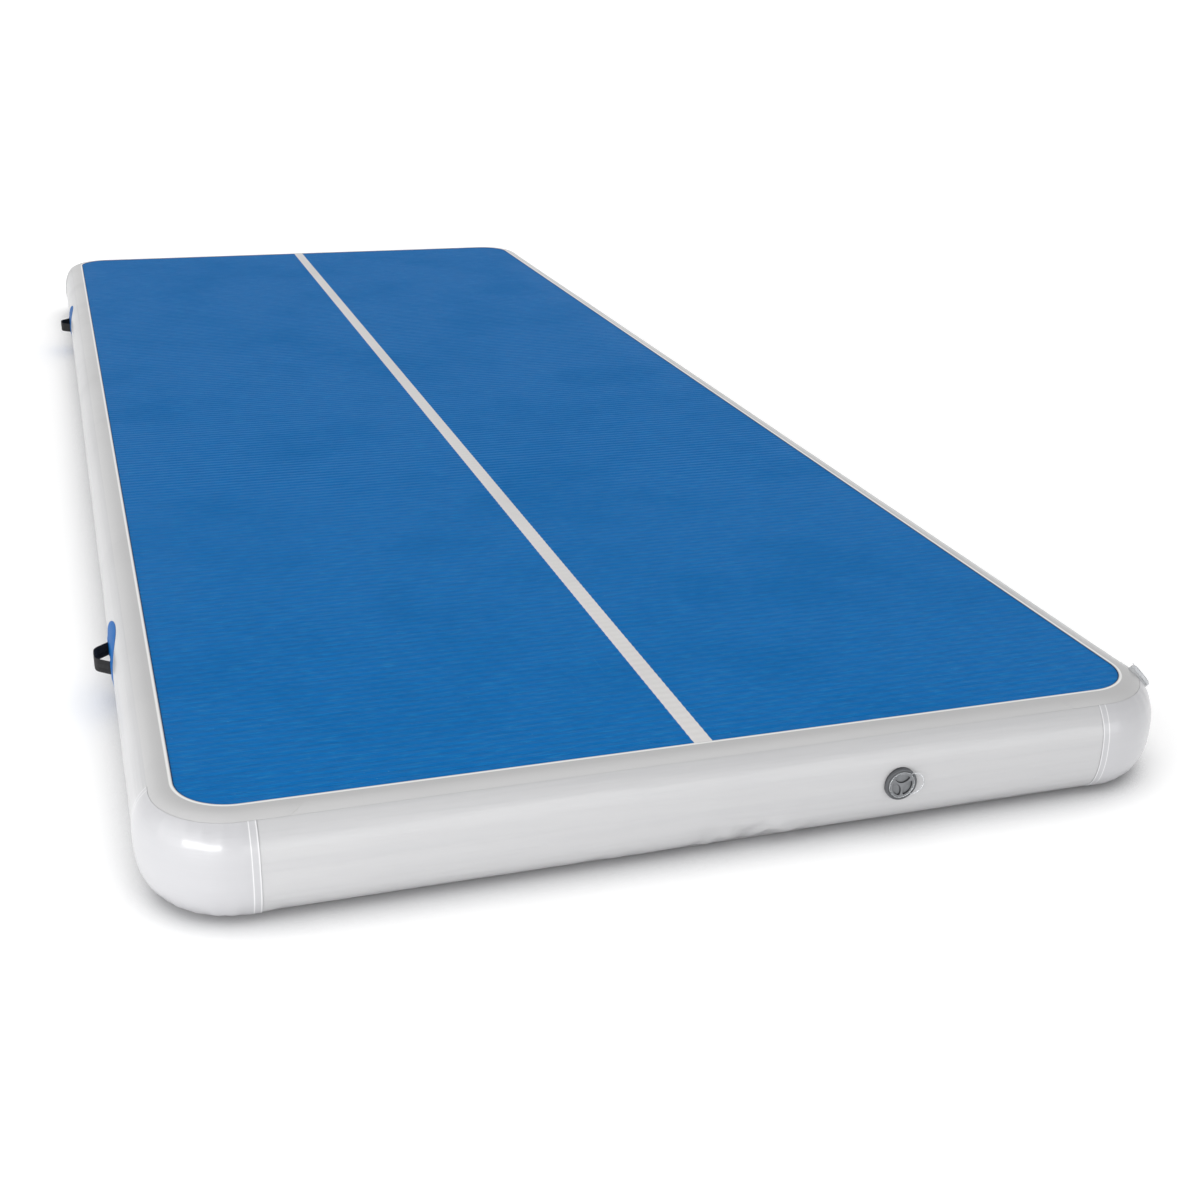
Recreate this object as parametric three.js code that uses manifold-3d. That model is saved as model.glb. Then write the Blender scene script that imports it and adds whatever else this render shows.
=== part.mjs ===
// Inflatable drop-stitch air track mat: two coated cloths tied together by drop yarns, a bulged side wall
// glued in lengths with corner pieces, wear sheets, seam tapes, carrying straps and two screw-in valves.
// Millimetres. +Z is up, +Y runs along the mat, and the valve wall faces -Y. The origin is the middle of
// the underside, on the floor.
import * as THREE from 'three';
import { mergeVertices } from 'three/addons/utils/BufferGeometryUtils.js';
import Module from 'manifold-3d';

const wasm = await Module();
wasm.setup();

// Overall sizes
const matWidth = 2000;
const matLength = 5000;
const matHeight = 200;

// Side wall: how far it bulges past the wear sheet's edge, and how square its curve is
const wallBulge = 70;
const wallFullness = 2.3;
const wallThickness = 1.2;
const wallSteps = 14;
const edgeCornerRadius = 105;
const cornerSteps = 7;

// Layers and the clearance kept between glued faces
const gap = 0.3;
const clothThickness = 1.2;
const clothMargin = 1.5;
const topSheetThickness = 1.2;
const bottomSheetThickness = 2.4;
const stripeWidth = 35;
const stripeThickness = 0.5;

// Seam tapes over the wall's upper and lower edges, and the skin over each corner
const tapeWidth = 40;
const tapeThickness = 0.5;
const wallFootHeight = 1.2;
const cornerTapeRun = 75;
const cornerPatchRun = 20;
const cornerPatchThickness = 0.9;

// Carrying straps: webbing loops on oval patches, the same on both sides
const frontStrapStation = -1555;
const rearStrapStation = 1650;
const strapWidth = 30;
const strapThickness = 2.4;
const strapFootSpan = 105;
const strapTopSpan = 50;
const strapStandOff = 33;
const strapPatchLength = 220;
const strapPatchHeight = 146;
const strapPatchThickness = 0.9;

// Drop yarns: a few of the many rows, each one yarn that runs to and fro between the cloths
const yarnRows = 4;
const yarnPitch = 120;
const yarnThickness = 1.6;
const yarnInset = 60;

// Valves: the inflation valve on the front wall and a smaller relief valve on the front right corner
const inflationValveOffset = 368;
const reliefValveTurn = 13;
const reliefValveAngle = 50;
const flangeThickness = 2.5;
const rimHeight = 4;
const saddleThickness = 1.2;
const barrelWall = 5;
const nutThickness = 5;
const nutClearance = 1.2;
const stemRadius = 2.9;
const capRise = 1.3;
const stemTop = -6.3;
const stemHead = 2;
const plateThickness = 2;
const sealThickness = 2;
const hubHeight = 4;
const hubAboveEnd = 6;
const spokeHalf = 1.5;
const buttonTop = -4;
const buttonHeight = 4;
const lugReach = 1.2;
const springWire = 0.5;
const springTurns = 5;
const pocketFloor = 1.6;

// Each pocket in a cap is a lens: where a circle centred beyond the rim crosses the face, in shares of its reach
const pocketRadius = 0.88;
const pocketOffset = 1.11;
const loopStrip = 1.8;
const loopReach = 14;
const tetherThickness = 1;
const inflationSizes = { flange: 32, rimWall: 5, bore: 18, depth: 34, plug: 7, button: 7, loop: 22 };
const reliefSizes = { flange: 25, rimWall: 4, bore: 13, depth: 26, plug: 6, button: 0, loop: 15 };

// Worked out from the sizes above
const edgeHalfWidth = matWidth / 2 - wallBulge;
const edgeHalfLength = matLength / 2 - wallBulge;
const wallMiddle = (matHeight + wallFootHeight) / 2;
const wallHalfHeight = (matHeight - wallFootHeight) / 2;
const patchFace = gap + strapPatchThickness;
const cornerFace = gap + cornerPatchThickness;
const turn = Math.PI / 2;

const mat = new THREE.Group();
const white = { color: 0xdcdde0, roughness: 0.42, metalness: 0 };
const glossWhite = { color: 0xe8e8ec, roughness: 0.25, metalness: 0 };
const blue = { color: 0x0a6cb4, roughness: 0.55, metalness: 0 };
const base = { color: 0xc9ccd0, roughness: 0.7, metalness: 0 };
const webbing = { color: 0x101012, roughness: 0.85, metalness: 0 };
const greyPlastic = { color: 0x7c7f83, roughness: 0.4, metalness: 0 };
const clearPlastic = { color: 0xd8dcdf, roughness: 0.2, metalness: 0 };
const darkRubber = { color: 0x2a2b2d, roughness: 0.8, metalness: 0 };
const steel = { color: 0xa8aaac, roughness: 0.3, metalness: 0.9 };
const yarn = { color: 0xe4e2da, roughness: 0.9, metalness: 0 };

function addPiece(name, geometry, finish, parent = mat) {
  const piece = new THREE.Mesh(geometry, new THREE.MeshStandardMaterial(finish));
  piece.name = name;
  parent.add(piece);
  return piece;
}

// Solids for cuts and joins

function toSolid(geometry) {
  const bare = geometry.index ? geometry.clone() : geometry;
  bare.deleteAttribute('normal');
  bare.deleteAttribute('uv');
  const merged = mergeVertices(bare, 1e-3);
  const vertProperties = new Float32Array(merged.attributes.position.array);
  const triVerts = new Uint32Array(merged.index.array);
  return new wasm.Manifold(new wasm.Mesh({ numProp: 3, vertProperties, triVerts }));
}

function toGeometry(solid) {
  const mesh = solid.getMesh();
  const geometry = new THREE.BufferGeometry();
  geometry.setAttribute('position', new THREE.BufferAttribute(mesh.vertProperties, 3));
  geometry.setIndex(new THREE.BufferAttribute(mesh.triVerts, 1));
  return geometry;
}

function cut(geometry, tool) {
  return toGeometry(toSolid(geometry).subtract(toSolid(tool)));
}

function keepInside(geometry, tool) {
  return toGeometry(toSolid(geometry).intersect(toSolid(tool)));
}

function join(geometry, other) {
  return toGeometry(toSolid(geometry).add(toSolid(other)));
}

function box(x0, x1, y0, y1, z0, z1) {
  const shape = new THREE.BoxGeometry(x1 - x0, y1 - y0, z1 - z0);
  return shape.translate((x0 + x1) / 2, (y0 + y1) / 2, (z0 + z1) / 2);
}

// The wall's curve. An angle of 90 is its upper edge, 0 its middle and -90 its foot.

function wallPoint(angle, lift = 0) {
  const c = Math.max(Math.cos(THREE.MathUtils.degToRad(angle)), 0);
  const s = Math.sin(THREE.MathUtils.degToRad(angle));
  const power = 2 / wallFullness;
  const reach = wallBulge - gap;
  const outShare = c ** power;
  const upShare = Math.sign(s) * Math.abs(s) ** power;
  const outSlope = outShare ** (wallFullness - 1) / reach;
  const upSlope = Math.sign(upShare) * Math.abs(upShare) ** (wallFullness - 1) / wallHalfHeight;
  const size = Math.hypot(outSlope, upSlope);
  return {
    out: gap + reach * outShare + (lift * outSlope) / size,
    up: wallMiddle + wallHalfHeight * upShare + (lift * upSlope) / size,
    tilt: THREE.MathUtils.radToDeg(Math.atan2(upSlope, outSlope)),
  };
}

// The angle that lies a given way down the curve from its upper edge
function angleBelowEdge(distance) {
  let angle = 90;
  let run = 0;
  let last = wallPoint(angle);
  while (run < distance) {
    angle -= 0.25;
    const next = wallPoint(angle);
    run += Math.hypot(next.out - last.out, next.up - last.up);
    last = next;
  }
  return angle;
}

const tapeAngle = angleBelowEdge(tapeWidth);
const patchAngle = angleBelowEdge(tapeWidth + gap);

// Every skin bends at the same angles, so that layers lie flat on each other: even steps, and the tapes' edges
const evenStep = 180 / wallSteps;
const evenAngles = Array.from({ length: wallSteps - 1 }, (_, i) => (i + 1) * evenStep - 90);
const freeAngles = evenAngles.filter((angle) => Math.abs(Math.abs(angle) - tapeAngle) > evenStep / 3);
const bends = [-tapeAngle, tapeAngle, ...freeAngles].sort((a, b) => a - b);

function curveAngles(from, to) {
  const margin = 0.5;
  return [from, ...bends.filter((angle) => angle > from + margin && angle < to - margin), to];
}

// Cross-section of a skin on the wall's curve, for a sweep: x is down, y is outward
function skinSection(from, to, innerLift, outerLift) {
  const angles = curveAngles(from, to);
  const outer = angles.map((angle) => wallPoint(angle, outerLift));
  const inner = angles.map((angle) => wallPoint(angle, innerLift)).reverse();
  return new THREE.Shape([...outer, ...inner].map((p) => new THREE.Vector2(-p.up, p.out)));
}

// Everything inside the wall's curve, to shape what seats on it
function filledSection(lift) {
  const angles = curveAngles(-90, 90);
  const outer = angles.map((angle) => wallPoint(angle, lift));
  const depth = -edgeCornerRadius / 2;
  const points = [{ out: depth, up: outer[0].up }, ...outer, { out: depth, up: outer.at(-1).up }];
  return new THREE.Shape(points.map((p) => new THREE.Vector2(-p.up, p.out)));
}

// A run along the edge of the wear sheet, clockwise seen from above, with the outside on its left
class EdgeRun extends THREE.Curve {
  constructor(stations) {
    super();
    this.stations = stations;
  }

  getPointAt(share) {
    const station = this.stations[Math.round(share * (this.stations.length - 1))];
    return new THREE.Vector3(station.x, station.y, 0);
  }

  getTangentAt(share, target = new THREE.Vector3()) {
    const station = this.stations[Math.round(share * (this.stations.length - 1))];
    return target.set(Math.cos(station.heading), Math.sin(station.heading), 0);
  }
}

function sweep(section, stations) {
  return new THREE.ExtrudeGeometry(section, {
    steps: stations.length - 1,
    bevelEnabled: false,
    extrudePath: new EdgeRun(stations),
  });
}

// The four corners in the order of the run, with the heading of the run as it enters each
const cornerX = edgeHalfWidth - edgeCornerRadius;
const cornerY = edgeHalfLength - edgeCornerRadius;
const corners = [
  { name: 'front_left', x: -cornerX, y: -cornerY, heading: Math.PI },
  { name: 'rear_left', x: -cornerX, y: cornerY, heading: turn },
  { name: 'rear_right', x: cornerX, y: cornerY, heading: 0 },
  { name: 'front_right', x: cornerX, y: -cornerY, heading: -turn },
];

function edgeStation(corner, heading, along = 0) {
  return {
    x: corner.x + edgeCornerRadius * Math.cos(heading + turn) + along * Math.cos(heading),
    y: corner.y + edgeCornerRadius * Math.sin(heading + turn) + along * Math.sin(heading),
    heading,
  };
}

// Stations round a corner, with a straight run of the given length before and after it
function cornerStations(corner, run = 0) {
  const stations = [];
  for (let i = 0; i <= cornerSteps; i += 1) {
    stations.push(edgeStation(corner, corner.heading - (turn * i) / cornerSteps));
  }
  if (run > 0) {
    stations.unshift(edgeStation(corner, corner.heading, -run));
    stations.push(edgeStation(corner, corner.heading - turn, run));
  }
  return stations;
}

// The straight side that leads into a corner, from the corner before it, stopping short at both ends
function sideStations(index, short) {
  const next = corners[index];
  const before = corners[(index + corners.length - 1) % corners.length];
  return [edgeStation(before, next.heading, short), edgeStation(next, next.heading, -short)];
}

// Flat layers

function outline(margin) {
  const points = [];
  for (const corner of corners) {
    for (const station of cornerStations(corner)) {
      points.push(new THREE.Vector2(
        station.x + margin * Math.cos(station.heading + turn),
        station.y + margin * Math.sin(station.heading + turn),
      ));
    }
  }
  return new THREE.Shape(points);
}

function layer(margin, bottom, thickness) {
  const sheet = new THREE.ExtrudeGeometry(outline(margin), { depth: thickness, bevelEnabled: false });
  return sheet.translate(0, 0, bottom);
}

const upperClothTop = matHeight - topSheetThickness - gap;
const lowerClothBottom = bottomSheetThickness + gap;

function addSheets() {
  addPiece('top_wear_sheet', layer(0, matHeight - topSheetThickness, topSheetThickness), blue);
  addPiece('bottom_wear_sheet', layer(0, 0, bottomSheetThickness), blue);
  addPiece('upper_base_cloth', layer(clothMargin, upperClothTop - clothThickness, clothThickness), base);
  addPiece('lower_base_cloth', layer(clothMargin, lowerClothBottom, clothThickness), base);
  const half = stripeWidth / 2;
  const low = matHeight + gap;
  const stripe = box(-half, half, -edgeHalfLength, edgeHalfLength, low, low + stripeThickness);
  addPiece('centre_stripe', stripe, white);
}

// Walls, corner skins and seam tapes. A list of cutters clears the valves' places.

function addWalls(cutters) {
  const wall = skinSection(-90, 90, -wallThickness, 0);
  const patch = skinSection(-tapeAngle, patchAngle, gap, cornerFace);
  const topTape = skinSection(tapeAngle, 90, gap, gap + tapeThickness);
  const bottomTape = skinSection(-90, -tapeAngle - 1, gap, gap + tapeThickness);
  const sideNames = ['front_end', 'left_side', 'rear_end', 'right_side'];
  corners.forEach((corner, index) => {
    const side = sideNames[index];
    const pieces = [
      [`${side}_wall`, sweep(wall, sideStations(index, gap / 2)), white],
      [`${side}_top_tape`, sweep(topTape, sideStations(index, cornerTapeRun + gap / 2)), white],
      [`${side}_bottom_tape`, sweep(bottomTape, sideStations(index, gap / 2)), white],
      [`${corner.name}_corner_wall`, sweep(wall, cornerStations(corner)), white],
      [`${corner.name}_corner_patch`, sweep(patch, cornerStations(corner, cornerPatchRun)), glossWhite],
      [`${corner.name}_corner_tape`, sweep(topTape, cornerStations(corner, cornerTapeRun - gap / 2)), white],
    ];
    for (const [name, geometry, finish] of pieces) {
      const cutter = cutters[name];
      addPiece(name, cutter ? cut(geometry, cutter) : geometry, finish);
    }
  });
}

// Carrying straps

function strapOutline(outset, reach) {
  const foot = strapFootSpan / 2 + outset;
  const top = strapTopSpan / 2 + outset * 0.7;
  const round = strapTopSpan / 4;
  const slope = Math.hypot(foot - top, reach);
  const backX = reach - (round * reach) / slope;
  const backY = top + (round * (foot - top)) / slope;
  const shape = new THREE.Shape();
  shape.moveTo(0, foot);
  shape.lineTo(backX, backY);
  shape.quadraticCurveTo(reach, top, reach, top - round);
  shape.lineTo(reach, round - top);
  shape.quadraticCurveTo(reach, -top, backX, -backY);
  shape.lineTo(0, -foot);
  return shape;
}

// A loop of webbing with its wide way upright. Its feet are rounded, so it can swing up and down.
function strapLoop() {
  const half = strapThickness / 2;
  const options = { depth: strapWidth, bevelEnabled: false, curveSegments: 4 };
  const solid = new THREE.ExtrudeGeometry(strapOutline(half, strapStandOff), options);
  const core = new THREE.ExtrudeGeometry(strapOutline(-half, strapStandOff - strapThickness), options);
  const past = 1;
  core.scale(1, 1, 1 + (2 * past) / strapWidth).translate(0, 0, -past);
  const open = box(-past * 2, 0, -strapFootSpan / 2 + half, strapFootSpan / 2 - half, -past, strapWidth + past);
  const loop = cut(cut(solid, core), open);
  loop.translate(0, 0, -strapWidth / 2);
  const radius = strapWidth / 2;
  const swept = new THREE.Shape();
  swept.moveTo(strapStandOff + past, radius);
  swept.lineTo(radius, radius);
  swept.absarc(radius, 0, radius, turn, 3 * turn, false);
  swept.lineTo(strapStandOff + past, -radius);
  const length = strapFootSpan + 4 * strapThickness;
  const envelope = new THREE.ExtrudeGeometry(swept, { depth: length, bevelEnabled: false, curveSegments: 10 });
  envelope.rotateX(turn).translate(0, length / 2, 0);
  return keepInside(loop, envelope);
}

// An oval of coated cloth, bent to the wall's curve
function strapPatch(index) {
  const section = skinSection(-patchAngle, patchAngle, gap, patchFace);
  const band = sweep(section, sideStations(index, gap));
  const oval = new THREE.Shape();
  oval.absellipse(0, 0, strapPatchHeight / 2, strapPatchLength / 2, 0, 4 * turn, false);
  const depth = wallBulge;
  const punch = new THREE.ExtrudeGeometry(oval, { depth, bevelEnabled: false, curveSegments: 14 });
  punch.rotateY(turn);
  return { band, punch };
}

function addStraps() {
  const sides = [
    { name: 'left', index: 1, sign: -1 },
    { name: 'right', index: 3, sign: 1 },
  ];
  for (const { name, index, sign } of sides) {
    for (const [place, y] of [['front', frontStrapStation], ['rear', rearStrapStation]]) {
      const { band, punch } = strapPatch(index);
      const inner = sign > 0 ? edgeHalfWidth + wallBulge / 4 : -edgeHalfWidth - wallBulge * 1.25;
      punch.translate(inner, y, wallMiddle);
      addPiece(`${name}_${place}_strap_patch`, keepInside(band, punch), blue);
      const strap = addPiece(`${name}_${place}_strap`, strapLoop(), webbing);
      strap.position.set(sign * (matWidth / 2 + patchFace + gap), y, wallMiddle);
      strap.rotation.z = sign > 0 ? 0 : Math.PI;
    }
  }
}

// Drop yarns

function yarnRow(y) {
  const low = lowerClothBottom + clothThickness + gap;
  const high = upperClothTop - clothThickness - gap;
  const count = Math.floor((2 * (edgeHalfWidth - yarnInset)) / yarnPitch);
  const start = (-count * yarnPitch) / 2;
  const upper = [];
  const lower = [];
  for (let i = 0; i <= 2 * count; i += 1) {
    const x = start + (i * yarnPitch) / 2;
    const isLow = i % 2 === 0;
    upper.push(new THREE.Vector2(x, isLow ? low + 2 * yarnThickness : high));
    lower.push(new THREE.Vector2(x, isLow ? low : high - 2 * yarnThickness));
  }
  const zigzag = new THREE.Shape([...lower, ...upper.reverse()]);
  const row = new THREE.ExtrudeGeometry(zigzag, { depth: yarnThickness, bevelEnabled: false });
  return row.rotateX(turn).translate(0, y + yarnThickness / 2, 0);
}

function addYarns() {
  const spacing = (2 * edgeHalfLength) / yarnRows;
  for (let i = 0; i < yarnRows; i += 1) {
    addPiece(`drop_yarn_row_${i + 1}`, yarnRow(-edgeHalfLength + (i + 0.5) * spacing), yarn);
  }
}

// Valves, built about their own axis: local +Z points out of the wall and 0 is the wall's face

function lathe(points, segments = 24) {
  const profile = points.map(([radius, height]) => new THREE.Vector2(radius, height));
  return new THREE.LatheGeometry(profile, segments).rotateX(turn);
}

function ring(inner, outer, low, high, segments = 24) {
  return lathe([[inner, low], [outer, low], [outer, high], [inner, high], [inner, low]], segments);
}

function disc(radius, low, high, segments = 24) {
  return lathe([[0, low], [radius, low], [radius, high], [0, high]], segments);
}

// How far the wall falls away from its tangent plane within a radius of a point on its curve
function fallWithin(angle, radius, sideRadius) {
  const middle = wallPoint(angle);
  const tilt = THREE.MathUtils.degToRad(middle.tilt);
  let fall = 0;
  for (let other = -90; other <= 90; other += 1) {
    const p = wallPoint(other);
    const along = (p.up - middle.up) * Math.cos(tilt) - (p.out - middle.out) * Math.sin(tilt);
    const drop = -(p.out - middle.out) * Math.cos(tilt) - (p.up - middle.up) * Math.sin(tilt);
    if (Math.abs(along) <= radius) {
      fall = Math.max(fall, drop);
    }
  }
  return fall + (sideRadius ? radius ** 2 / (2 * sideRadius) : 0);
}

function valveBody(s, faceLow, faceHigh, rimTop) {
  const rimInner = s.flange - s.rimWall;
  const barrel = s.bore + barrelWall;
  const shell = lathe([
    [s.bore, -s.depth], [barrel, -s.depth], [barrel, faceLow], [s.flange, faceLow], [s.flange, rimTop - 1],
    [s.flange - 1, rimTop], [rimInner, rimTop], [rimInner, faceHigh], [s.bore, faceHigh], [s.bore, -s.depth],
  ]);
  const hubRadius = stemRadius * 2.1;
  const hubLow = -s.depth + hubAboveEnd;
  const hubHigh = hubLow + hubHeight;
  let frame = ring(stemRadius + gap, hubRadius, hubLow, hubHigh, 20);
  for (let i = 0; i < 3; i += 1) {
    const spoke = box(hubRadius - 1, s.bore + 1, -spokeHalf, spokeHalf, hubLow + 0.5, hubHigh - 0.5);
    frame = join(frame, spoke.rotateZ(turn + (i * 4 * turn) / 3));
  }
  return { geometry: join(shell, frame), hubHigh };
}

function valveCap(s, faceHigh, capTop) {
  const plugLow = faceHigh - s.plug;
  const discRadius = s.flange - s.rimWall - 0.7;
  const step = capTop - tetherThickness - gap;
  const face = discRadius - 2.4;
  let cap = lathe([
    [0, plugLow], [s.bore - 3, plugLow], [s.bore - 1.6, faceHigh + gap], [discRadius, faceHigh + gap],
    [discRadius, step], [face, step], [face, capTop - 0.6], [face - 0.6, capTop], [0, capTop],
  ]);
  const reach = face - 3;
  const low = faceHigh + pocketFloor;
  for (let i = 0; i < 3; i += 1) {
    const side = disc(pocketRadius * reach, low, capTop + 1, 36).translate(pocketOffset * reach, 0, 0);
    const pocket = keepInside(disc(reach, low, capTop + 1), side);
    cap = cut(cap, pocket.rotateZ(turn + (i * 4 * turn) / 3));
  }
  return cap;
}

// The clear tether: a ring that turns on the cap and half a loop, then the half that stays on the rim
function valveTether(s, low) {
  const high = low + tetherThickness;
  const discRadius = s.flange - s.rimWall - 0.7;
  const far = s.flange + loopReach;
  const loop = ring(s.loop - loopStrip, s.loop, low, high, 40);
  loop.translate(far - s.loop, 0, 0);
  const outside = cut(loop, disc(discRadius - 1, low - 1, high + 1));
  const split = 0.3;
  const moving = keepInside(outside, box(0, far + 1, split, far, low - 1, high + 1));
  const collar = ring(discRadius - 2.1, discRadius, low, high);
  const onRim = cut(outside, disc(discRadius + 1.4, low - 1, high + 1));
  const fixed = keepInside(onRim, box(0, far + 1, -far, -split, low - 1, high + 1));
  return { moving: join(collar, moving), fixed };
}

function coilSpring(radius, low, high, wire, turns) {
  class Coil extends THREE.Curve {
    getPoint(share, target = new THREE.Vector3()) {
      const angle = share * turns * 4 * turn;
      return target.set(radius * Math.cos(angle), radius * Math.sin(angle), low + share * (high - low));
    }
  }
  const section = new THREE.Shape();
  section.absarc(0, 0, wire, 0, 4 * turn, false);
  return new THREE.ExtrudeGeometry(section, {
    steps: turns * 9,
    bevelEnabled: false,
    curveSegments: 3,
    extrudePath: new Coil(),
  });
}

function addValve(prefix, s, place, angle, covering, filled, sideRadius) {
  const group = new THREE.Group();
  group.applyMatrix4(place);
  mat.add(group);
  const part = (name, geometry, finish) => addPiece(`${prefix}_${name}`, geometry, finish, group);
  const faceLow = saddleThickness + gap;
  const faceHigh = faceLow + flangeThickness;
  const rimTop = faceHigh + rimHeight;
  const capTop = rimTop + capRise;
  const barrel = s.bore + barrelWall;
  const fall = fallWithin(angle, s.flange, sideRadius);
  const body = valveBody(s, faceLow, faceHigh, rimTop);
  part('valve_body', body.geometry, greyPlastic);
  const nutTop = -covering - wallThickness - fall - nutClearance;
  part('valve_nut', ring(barrel + gap, s.flange, nutTop - nutThickness, nutTop), greyPlastic);
  const saddle = ring(barrel + gap, s.flange, -fall - 2, saddleThickness);
  const inverse = place.clone().invert();
  part('valve_saddle', cut(saddle, filled.clone().applyMatrix4(inverse)), darkRubber);
  const sealTop = -s.depth - gap;
  const plateTop = sealTop - sealThickness - gap;
  const plateLow = plateTop - plateThickness;
  const plate = s.bore - 4;
  const headLow = stemTop - stemHead;
  const foot = [[0, plateLow], [plate, plateLow], [plate, plateTop], [stemRadius, plateTop]];
  const plainTop = [[stemRadius, stemTop], [0, stemTop]];
  const headedTop = [[stemRadius, headLow], [stemRadius * 2, headLow], [stemRadius * 2, stemTop], [0, stemTop]];
  part('valve_stem', lathe([...foot, ...(s.button ? plainTop : headedTop)], 20), greyPlastic);
  part('valve_diaphragm', ring(stemRadius + gap, s.bore + 3, sealTop - sealThickness, sealTop), darkRubber);
  if (s.button) {
    const socket = stemTop + gap;
    const low = buttonTop - buttonHeight;
    const edge = 0.6;
    const button = lathe([
      [0, socket], [stemRadius + gap, socket], [stemRadius + gap, low], [s.button, low],
      [s.button, buttonTop - edge], [s.button - edge, buttonTop], [0, buttonTop],
    ], 20);
    const reach = s.button + lugReach;
    const lug = box(-reach, reach, -spokeHalf, spokeHalf, low + 0.4, buttonTop - 1);
    const ends = cut(lug, disc(s.button - 1, low - 1, buttonTop + 1, 20));
    part('valve_button', join(button, ends), greyPlastic);
  }
  const springTop = (s.button ? buttonTop - buttonHeight : headLow) - gap - springWire - gap;
  const springRadius = stemRadius + 1.7;
  const springLow = body.hubHigh + 2 * springWire;
  part('valve_spring', coilSpring(springRadius, springLow, springTop, springWire, springTurns), steel);
  part('valve_cap', valveCap(s, faceHigh, capTop), greyPlastic);
  const tether = valveTether(s, capTop - tetherThickness);
  part('valve_tether', tether.moving, clearPlastic);
  part('valve_tether_end', tether.fixed, clearPlastic);
}

function facing(point, outward) {
  const side = new THREE.Vector3(0, 0, 1).cross(outward).normalize();
  const up = outward.clone().cross(side);
  return new THREE.Matrix4().makeBasis(side, up, outward).setPosition(point);
}

function valveHole(place, radius, depth) {
  return disc(radius, -depth, depth).applyMatrix4(place);
}

const inflationPlace = facing(
  new THREE.Vector3(inflationValveOffset, -matLength / 2, wallMiddle),
  new THREE.Vector3(0, -1, 0),
);

function reliefPlace() {
  const corner = corners[3];
  const heading = corner.heading - THREE.MathUtils.degToRad(reliefValveTurn);
  const p = wallPoint(reliefValveAngle, cornerFace);
  const tilt = THREE.MathUtils.degToRad(p.tilt);
  const outX = Math.cos(heading + turn);
  const outY = Math.sin(heading + turn);
  const reach = edgeCornerRadius + p.out;
  const point = new THREE.Vector3(corner.x + reach * outX, corner.y + reach * outY, p.up);
  return facing(point, new THREE.Vector3(outX * Math.cos(tilt), outY * Math.cos(tilt), Math.sin(tilt)));
}

function addValves() {
  const front = sweep(filledSection(gap), sideStations(0, 0));
  addValve('inflation', inflationSizes, inflationPlace, 0, 0, front, 0);
  const corner = sweep(filledSection(cornerFace + gap), cornerStations(corners[3]));
  const sideRadius = edgeCornerRadius + wallBulge;
  addValve('relief', reliefSizes, reliefPlace(), reliefValveAngle, cornerFace, corner, sideRadius);
}

const barrelHole = 1;
function barrelCutter(place, s) {
  return valveHole(place, s.bore + barrelWall + barrelHole, s.depth);
}

const reliefHole = barrelCutter(reliefPlace(), reliefSizes);
addSheets();
addWalls({
  front_end_wall: barrelCutter(inflationPlace, inflationSizes),
  front_right_corner_wall: reliefHole,
  front_right_corner_patch: reliefHole,
  front_right_corner_tape: valveHole(reliefPlace(), reliefSizes.flange + gap, reliefSizes.depth),
});
addStraps();
addYarns();
addValves();

export default mat;
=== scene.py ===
"""Air track mat: coated cloth, webbing and moulded valves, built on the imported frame.

Metres throughout. The mat lies along +Y on the floor, its valve wall faces -Y and +Z is up.
"""

import logging
import math
from dataclasses import dataclass, field
from enum import Enum

import bmesh
import bpy
from mathutils import Matrix, Vector, noise


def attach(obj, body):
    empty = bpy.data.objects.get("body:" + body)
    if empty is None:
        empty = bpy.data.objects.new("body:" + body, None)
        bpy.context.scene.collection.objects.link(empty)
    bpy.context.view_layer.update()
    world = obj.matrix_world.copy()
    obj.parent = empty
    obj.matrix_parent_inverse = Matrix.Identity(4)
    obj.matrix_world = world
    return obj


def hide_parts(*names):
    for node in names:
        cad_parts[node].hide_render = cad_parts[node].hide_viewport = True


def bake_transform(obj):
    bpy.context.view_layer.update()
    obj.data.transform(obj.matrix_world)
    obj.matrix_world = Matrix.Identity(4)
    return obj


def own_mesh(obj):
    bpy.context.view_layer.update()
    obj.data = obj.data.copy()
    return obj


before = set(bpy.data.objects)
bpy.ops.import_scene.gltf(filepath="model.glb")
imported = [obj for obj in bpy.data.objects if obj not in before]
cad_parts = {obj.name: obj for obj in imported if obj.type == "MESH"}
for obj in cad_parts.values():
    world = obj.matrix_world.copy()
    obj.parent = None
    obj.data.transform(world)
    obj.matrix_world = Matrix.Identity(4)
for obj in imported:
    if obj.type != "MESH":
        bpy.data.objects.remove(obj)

logging.basicConfig(level=logging.INFO, format="%(message)s")
log = logging.getLogger("air_track")

RIGHT_ANGLE = math.pi / 2

# The wear sheet's half width, half length and corner radius, and how far a valve's hole clears its bore
SHEET_EDGE = (0.93, 2.43, 0.105)
BARREL_HOLE = 0.006

# The three directions of a valve's spokes and of its cap's pockets
THIRDS = tuple(RIGHT_ANGLE + i * 4 * RIGHT_ANGLE / 3 for i in range(3))

Colour = tuple[float, float, float]


def srgb(red: int, green: int, blue: int) -> Colour:
    """Turns a display colour into scene-linear values.

    Args:
        red: Red, 0 to 255.
        green: Green, 0 to 255.
        blue: Blue, 0 to 255.

    Returns:
        The three linear values.
    """
    shares = (c / 255 for c in (red, green, blue))
    return tuple(c / 12.92 if c < 0.04 else ((c + 0.055) / 1.055) ** 2.4 for c in shares)


def smoothstep(low: float, high: float, value: float) -> float:
    """Rises smoothly from 0 to 1.

    Args:
        low: Where the rise starts.
        high: Where the rise ends.
        value: The value to place between them.

    Returns:
        A share from 0 to 1.
    """
    t = min(max((value - low) / (high - low), 0), 1)
    return t * t * (3 - 2 * t)


# Shader graphs


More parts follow.
